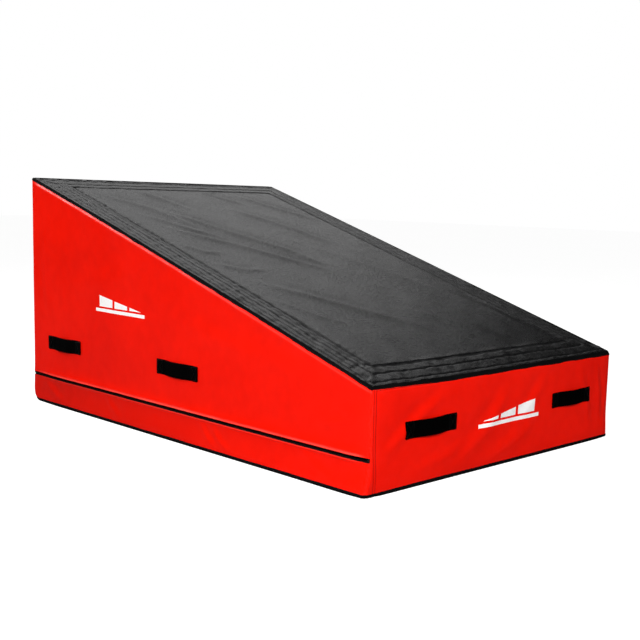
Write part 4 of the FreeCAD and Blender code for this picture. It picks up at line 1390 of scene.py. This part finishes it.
def strap(name):
    side = name.split("_")[1]
    lo, hi = box(name)
    centre = (lo + hi) / 2
    along = centre[1] if side in ("left", "right") else centre[0]
    zc = centre[2]
    span = (hi - lo)[1] if side in ("left", "right") else (hi - lo)[0]
    half_free = span / 2 + 0.0003
    sewn = 0.036
    width, thick = 0.051, 0.0021
    bow = 0.0070
    seed = sum(ord(c) for c in name)
    # the strap's middle line: flat on the cover, then lifting off it
    def line(u):
        a = np.abs(u)
        rise = smooth((half_free - a) / (half_free * 0.80))
        return 0.0003 + bow * rise
    out = {}
    for tag, sign in (("a", -1), ("b", 1)):
        u = np.concatenate([np.linspace(half_free + sewn, half_free, 14), np.linspace(half_free, 0, 34)[1:]])
        # cross section: a flat band with rounded selvedges
        k = np.linspace(-1, 1, 15)
        inset = np.array([0.0] + [0.0] * 13 + [0.0])
        prof = []
        for w in k:
            edge = max(0.0, (abs(w) - 0.94) / 0.06)
            prof.append((w * width / 2, thick * (1 - 0.5 * edge ** 2)))
        back = [(w, thick * 0.12) for w, _ in prof[::-1][1:-1]]
        ring = prof + back
        rows = []
        uvs = []
        for ui in u:
            s = along + sign * ui
            free = smooth((half_free - ui) / 0.02)
            sag = -0.0007 * smooth((half_free - ui) / half_free) + 0.0006 * float(noise(sign * ui, 0.0, 0.07, seed))
            twist = 0.0008 * float(noise(sign * ui, 0.3, 0.08, seed + 1)) * free
            pts = []
            for w, t in ring:
                zz = zc + w + sag
                lift = float(line(ui)) + t
                lift += 0.0022 * free * (-(w / (width / 2))) * 0.35 + twist * (w / (width / 2))
                # folded end: double thickness over the last 14 mm
                if ui > half_free + sewn - 0.014:
                    lift += 0.0011 if t > thick * 0.2 else 0.0
                pts.append((s, zz, lift))
            rows.append(pts)
            uvs.append([(sign * ui, w) for w, t in ring])
        A = np.array(rows)
        base, n = soften(ideal(side, A[..., 0], A[..., 1]))
        h = wall_height(side, np.full(1, along), np.full(1, zc))[0]
        hw = wall_height(side, A[..., 0], A[..., 1])
        P = base + n * (np.maximum(hw, h * 0.0) + A[..., 2])[..., None]
        ob = grid_object("strap_%s_%s" % (name[7:], tag), P, WEB, uv=np.array(uvs), close_v=True,
                         flip=(sign > 0) ^ (side in ("left", "back")))
        # close the sewn end
        me = ob.data
        bm = bmesh.new(); bm.from_mesh(me)
        bm.verts.ensure_lookup_table()
        nr = A.shape[1]
        try:
            f = bm.faces.new([bm.verts[i] for i in range(nr)])
            f.smooth = True
        except ValueError:
            pass
        bmesh.ops.recalc_face_normals(bm, faces=bm.faces)
        bm.to_mesh(me); bm.free()
        out[tag] = ob
        start_s, end_s = along + sign * half_free, along
        p0 = wall_point(side, np.array([start_s]), np.array([zc]))[0]
        p1 = wall_point(side, np.array([end_s]), np.array([zc]))[0]
        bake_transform(ob)
    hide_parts(name)
    # box and cross stitching on both sewn ends
    rows, norms = [], []
    for sign in (-1, 1):
        a0, a1 = half_free + 0.004, half_free + sewn - 0.004
        w = width / 2 - 0.004
        corners = [(a0, -w), (a1, -w), (a1, w), (a0, w), (a0, -w)]
        lines = [corners, [(a0, -w), (a1, w)], [(a0, w), (a1, -w)]]
        for l in lines:
            pts = []
            for (p, q), (p2, q2) in zip(l[:-1], l[1:]):
                for t in np.linspace(0, 1, 12, endpoint=False):
                    pts.append((p + (p2 - p) * t, q + (q2 - q) * t))
            pts.append(l[-1])
            pts = np.array(pts)
            s = along + sign * pts[:, 0]
            zz = zc + pts[:, 1]
            extra = np.where(pts[:, 0] > half_free + sewn - 0.014, 0.0011, 0.0)
            rows.append(wall_point(side, s, zz, 0.0003 + thick + extra + 0 * s))
            norms.append(wall_normal(side, s, zz))
    th = stitches("strap_stitch_" + name[7:], rows, norms, THREAD_BLACK, length=0.0032, gap=0.0010, lift=0.0001)
    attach(th, ROOT)
    return out


strap_pieces = {n: strap(n) for n in HANDLES}
for side in SIDES:
    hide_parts("handle_ends_" + side)

# reinforcing patches inside the cover
for side in SIDES:
    lo, hi = box("handle_backing_" + side)
    objs = []
    verts_all, quads_all, uv_all, count = [], [], [], 0
    for n in [n for n in HANDLES if n.split("_")[1] == side]:
        l, h = box(n)
        c = (l + h) / 2
        along = c[1] if side in ("left", "right") else c[0]
        s = np.linspace(along - 0.123, along + 0.123, 28)
        z = np.linspace(c[2] - 0.038, c[2] + 0.038, 12)
        S, Z = np.meshgrid(s, z, indexing="ij")
        P = wall_point(side, S, Z, -0.0024 + 0 * S)
        P += 0.0002 * noise(S, Z, 0.03, 5)[..., None]
        m = P.shape[0] * P.shape[1]
        idx = np.arange(m).reshape(P.shape[:2]) + count
        quads_all.append(np.stack([idx[:-1, :-1], idx[1:, :-1], idx[1:, 1:], idx[:-1, 1:]], -1).reshape(-1, 4))
        verts_all.append(P.reshape(-1, 3)); uv_all.append(np.stack([S, Z], -1).reshape(-1, 2)); count += m
    ob = quad_object("handle_patches_" + side, np.concatenate(verts_all), np.concatenate(quads_all), PATCH, np.concatenate(uv_all))
    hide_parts("handle_backing_" + side)
    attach(ob, ROOT)

# ----------------------------------------------------------------- foam core
def foam_block(name, node_name, material, profile):
    """A cut foam block: the profile in Y and Z, rounded at its edges, run across the mat."""
    lo, hi = box(node_name)
    prof = np.array(profile)
    # rounded corners
    ring = []
    n = len(prof)
    for i in range(n):
        p, a, b = prof[i], prof[i - 1], prof[(i + 1) % n]
        u, v = (a - p) / np.linalg.norm(a - p), (b - p) / np.linalg.norm(b - p)
        r = 0.006
        for t in (0, 0.33, 0.67, 1):
            ring.append(p + (u * (1 - t) ** 2 + v * t ** 2) * r)
        reach = np.linalg.norm(b - p)
        for t in np.linspace(0, 1, max(3, int(reach / 0.06)))[1:-1]:
            ring.append(p + v * (r + (reach - 2 * r) * t))
    ring = np.array(ring)
    xs = np.concatenate([[lo[0], lo[0] + 0.002, lo[0] + 0.006], [lo[0] + 0.014, lo[0] + 0.028], np.linspace(lo[0] + 0.05, hi[0] - 0.05, 17), [hi[0] - 0.028, hi[0] - 0.014], [hi[0] - 0.006, hi[0] - 0.002, hi[0]]])
    centre = ring.mean(0)
    rows = []
    for i, x in enumerate(xs):
        d = min(x - lo[0], hi[0] - x)
        k = 0.006 - math.sqrt(max(0, 0.006 ** 2 - max(0, 0.006 - d) ** 2)) if d < 0.006 else 0.0
        q = ring.copy()
        q[:, 0] -= np.sign(q[:, 0] - centre[0]) * k
        q[:, 1] -= np.sign(q[:, 1] - centre[1]) * k
        rows.append(np.stack([np.full(len(q), x), q[:, 0], q[:, 1]], -1))
    P = inside(np.stack(rows, 0))
    ob = grid_object(name, P, material, close_v=True)
    bm = bmesh.new(); bm.from_mesh(ob.data)
    bm.verts.ensure_lookup_table()
    m = len(ring)
    for s0 in (0, (len(xs) - 1) * m):
        f = bm.faces.new([bm.verts[s0 + i] for i in range(m)])
    bmesh.ops.recalc_face_normals(bm, faces=bm.faces)
    bm.to_mesh(ob.data); bm.free()
    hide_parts(node_name)
    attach(ob, ROOT)
    return ob


lo, hi = box("core_base_block")
foam_block("foam_base_block", "core_base_block", FOAM_A,
           [(lo[1], lo[2]), (hi[1], lo[2]), (hi[1], hi[2]), (lo[1], hi[2])])
lo2, hi2 = box("core_wedge_block")
low_top = hi2[2] - (hi2[1] - lo2[1]) * TAN
foam_block("foam_wedge_block", "core_wedge_block", FOAM_B,
           [(lo2[1], lo2[2]), (hi2[1], lo2[2]), (hi2[1], hi2[2]), (lo2[1], low_top)])
lo3, hi3 = box("core_top_layer")
rise = (hi3[1] - lo3[1]) * TAN
foam_block("foam_top_layer", "core_top_layer", FOAM_C,
           [(lo3[1], lo3[2]), (hi3[1], lo3[2] + rise), (hi3[1], hi3[2]), (lo3[1], hi3[2] - rise)])

# --------------------------------------------------------------- printed mark
def mark_piece(name, side, x0, z0, size_x, size_z):
    """A plain wedge over a ground line, printed on the cover."""
    polys = []
    ground = 0.20 * size_z
    # ground line
    polys.append([(0.0, 0.0), (1.0, 0.0), (1.0, ground / size_z), (0.0, ground / size_z)])
    # wedge in three slices, with gaps
    cuts = [(0.08, 0.30), (0.345, 0.60), (0.645, 0.92)]
    for a, b in cuts:
        za, zb = 0.32 + 0.68 * (a - 0.08) / 0.84 * 0.98, 0.32 + 0.68 * (b - 0.08) / 0.84 * 0.98
        polys.append([(a, 0.32), (b, 0.32), (b, zb + 0.02), (a, za + 0.02)])
    verts, quads, count = [], [], 0
    for poly in polys:
        p = np.array(poly)
        nu, nv = max(3, int((p[:, 0].max() - p[:, 0].min()) * size_x / 0.006)), max(3, int((p[:, 1].max() - p[:, 1].min()) * size_z / 0.005))
        a, b = np.meshgrid(np.linspace(0, 1, nu), np.linspace(0, 1, nv), indexing="ij")
        q = ((1 - a) * (1 - b))[..., None] * p[0] + (a * (1 - b))[..., None] * p[1] + (a * b)[..., None] * p[2] + ((1 - a) * b)[..., None] * p[3]
        s = x0 + q[..., 0] * size_x if size_x > 0 else x0 + q[..., 0] * size_x
        z = z0 + q[..., 1] * size_z
        P = wall_point(side, s, z, 0.00035 + 0 * s)
        idx = np.arange(nu * nv).reshape(nu, nv) + count
        quads.append(np.stack([idx[:-1, :-1], idx[1:, :-1], idx[1:, 1:], idx[:-1, 1:]], -1).reshape(-1, 4))
        verts.append(P.reshape(-1, 3)); count += nu * nv
    ob = quad_object(name, np.concatenate(verts), np.concatenate(quads), INK)
    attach(ob, ROOT)
    return ob


mark_piece("printed_wedge_left", "left", HY - 0.759, 0.392, 0.305, 0.058)
mark_piece("printed_wedge_front", "front", -HX + 0.472, 0.131, 0.315, 0.060)

for ob, nodes_, size, area, held, rests, slot_name in PENDING_SHEETS:
    finish_sheet(ob, nodes_)

# ------------------------------------------------------------ floor and light
def stage_floor():
    m, nt, b = nodes_of("studio_floor")
    co = object_coords(nt)
    pale = ramp(nt, noise_node(nt, co, 0.7, 2.0), [(0.3, (0.34, 0.34, 0.34)), (0.7, (0.37, 0.37, 0.37))])
    seen = nt.nodes.new("ShaderNodeLightPath")
    nt.links.new(mix_colour(nt, seen.outputs["Is Glossy Ray"], pale, (0.08, 0.08, 0.08)), b.inputs["Base Color"])
    b.inputs["Roughness"].default_value = 0.9
    b.inputs["Specular IOR Level"].default_value = 0.0
    b.inputs["Emission Color"].default_value = (1, 1, 1, 1)
    nt.links.new(math_node(nt, "MULTIPLY", seen.outputs["Is Camera Ray"], 0.93), b.inputs["Emission Strength"])
    n = 9
    xs = np.linspace(-30, 30, n)
    X, Y = np.meshgrid(xs, xs, indexing="ij")
    ob = grid_object("floor", np.stack([X, Y, np.full(X.shape, -0.0004)], -1), m)
    ob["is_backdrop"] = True
    return ob


stage_floor()


def area_light(name, at, look, size, power, colour=(1, 1, 1), spread=None):
    data = bpy.data.lights.new(name, "AREA")
    data.shape = "RECTANGLE"
    data.size, data.size_y = size
    data.energy = power
    data.color = colour
    ob = bpy.data.objects.new(name, data)
    ob.location = at
    ob.rotation_mode = "QUATERNION"
    ob.rotation_quaternion = (Vector(look) - Vector(at)).to_track_quat("-Z", "Y")
    SCENE.collection.objects.link(ob)
    return ob


area_light("key_soft", (-3.42, -3.18, 2.2), (-0.4, -0.6, 0.25), (1.5, 1.3), 245)
SCENE.objects["key_soft"].visible_glossy = False
area_light("back_soft", (-1.2, 3.9, 3.9), (-0.1, 0.2, 0.4), (2.2, 1.6), 55)
area_light("rim_strip", (-2.4, 3.4, 3.1), (-0.6, 0.1, 0.45), (1.3, 0.45), 105)
area_light("front_soft", (1.6, -4.6, 2.4), (0.2, -0.6, 0.2), (1.4, 1.2), 42)

world = bpy.data.worlds.new("studio")
SCENE.world = world
world.use_nodes = True
wt = world.node_tree
for n in list(wt.nodes):
    wt.nodes.remove(n)
out = wt.nodes.new("ShaderNodeOutputWorld")
mixer = wt.nodes.new("ShaderNodeMixShader")
white = wt.nodes.new("ShaderNodeBackground")
white.inputs["Color"].default_value = (1, 1, 1, 1)
white.inputs["Strength"].default_value = 1.0
env = wt.nodes.new("ShaderNodeBackground")
path = wt.nodes.new("ShaderNodeLightPath")
wt.links.new(path.outputs["Is Camera Ray"], mixer.inputs[0])
wt.links.new(env.outputs[0], mixer.inputs[1])
wt.links.new(white.outputs[0], mixer.inputs[2])
wt.links.new(mixer.outputs[0], out.inputs[0])
tc = wt.nodes.new("ShaderNodeTexCoord")
dot = wt.nodes.new("ShaderNodeVectorMath")
dot.operation = "DOT_PRODUCT"
# a tall bright backdrop behind the mat, with its right edge where the slope turns dark
dot.inputs[1].default_value = Vector((0.435, 0.557, 0.707)).normalized()
wt.links.new(tc.outputs["Generated"], dot.inputs[0])
br = wt.nodes.new("ShaderNodeMapRange")
br.interpolation_type = "SMOOTHSTEP"
br.inputs["From Min"].default_value = 0.76
br.inputs["From Max"].default_value = 0.97
br.inputs["To Min"].default_value = 0.0
br.inputs["To Max"].default_value = 1.0
wt.links.new(dot.outputs["Value"], br.inputs["Value"])
edge = wt.nodes.new("ShaderNodeVectorMath")
edge.operation = "DOT_PRODUCT"
edge.inputs[1].default_value = (math.cos(math.radians(60.0)), -math.sin(math.radians(60.0)), 0.0)
wt.links.new(tc.outputs["Generated"], edge.inputs[0])
er = wt.nodes.new("ShaderNodeMapRange")
er.interpolation_type = "SMOOTHSTEP"
er.inputs["From Min"].default_value = -0.060
er.inputs["From Max"].default_value = -0.036
er.inputs["To Min"].default_value = 1.0
er.inputs["To Max"].default_value = 0.0
wt.links.new(edge.outputs["Value"], er.inputs["Value"])
gain = wt.nodes.new("ShaderNodeMapRange")
gain.inputs["From Min"].default_value = -0.55
gain.inputs["From Max"].default_value = -0.05
gain.inputs["To Min"].default_value = 0.64
gain.inputs["To Max"].default_value = 1.80
wt.links.new(edge.outputs["Value"], gain.inputs["Value"])
lit = wt.nodes.new("ShaderNodeMath")
lit.operation = "MULTIPLY"
wt.links.new(er.outputs[0], lit.inputs[0])
wt.links.new(gain.outputs[0], lit.inputs[1])
mul = wt.nodes.new("ShaderNodeMath")
mul.operation = "MULTIPLY_ADD"
wt.links.new(lit.outputs[0], mul.inputs[0])
wt.links.new(br.outputs[0], mul.inputs[1])
mul.inputs[2].default_value = 0.015
wt.links.new(mul.outputs[0], env.inputs["Strength"])

SCENE.view_settings.view_transform = "Standard"
SCENE.view_settings.look = "None"

# --------------------------------------------------------------------- camera
AZ, EL, ROLL = 0.7981, 0.1359, 0.0275
f = Vector((math.sin(AZ) * math.cos(EL), math.cos(AZ) * math.cos(EL), -math.sin(EL)))
r = f.cross(Vector((0, 0, 1))).normalized()
u = r.cross(f)
c, s_ = math.cos(ROLL), math.sin(ROLL)
r2, u2 = r * c + u * s_, r * -s_ + u * c
cam_data = bpy.data.cameras.new("camera")
cam_data.sensor_width = 36.0
cam_data.lens = 1036.2 / 640 * 36.0
cam_data.shift_x = (320 - 353.19) / 640
cam_data.shift_y = (342.04 - 320) / 640
cam = bpy.data.objects.new("camera", cam_data)
SCENE.collection.objects.link(cam)
cam.matrix_world = Matrix(((r2.x, u2.x, -f.x, -2.6267), (r2.y, u2.y, -f.y, -2.8035), (r2.z, u2.z, -f.z, 0.8117), (0, 0, 0, 1)))
cam_data.clip_start, cam_data.clip_end = 0.05, 200
SCENE.camera = cam

lo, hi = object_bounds()
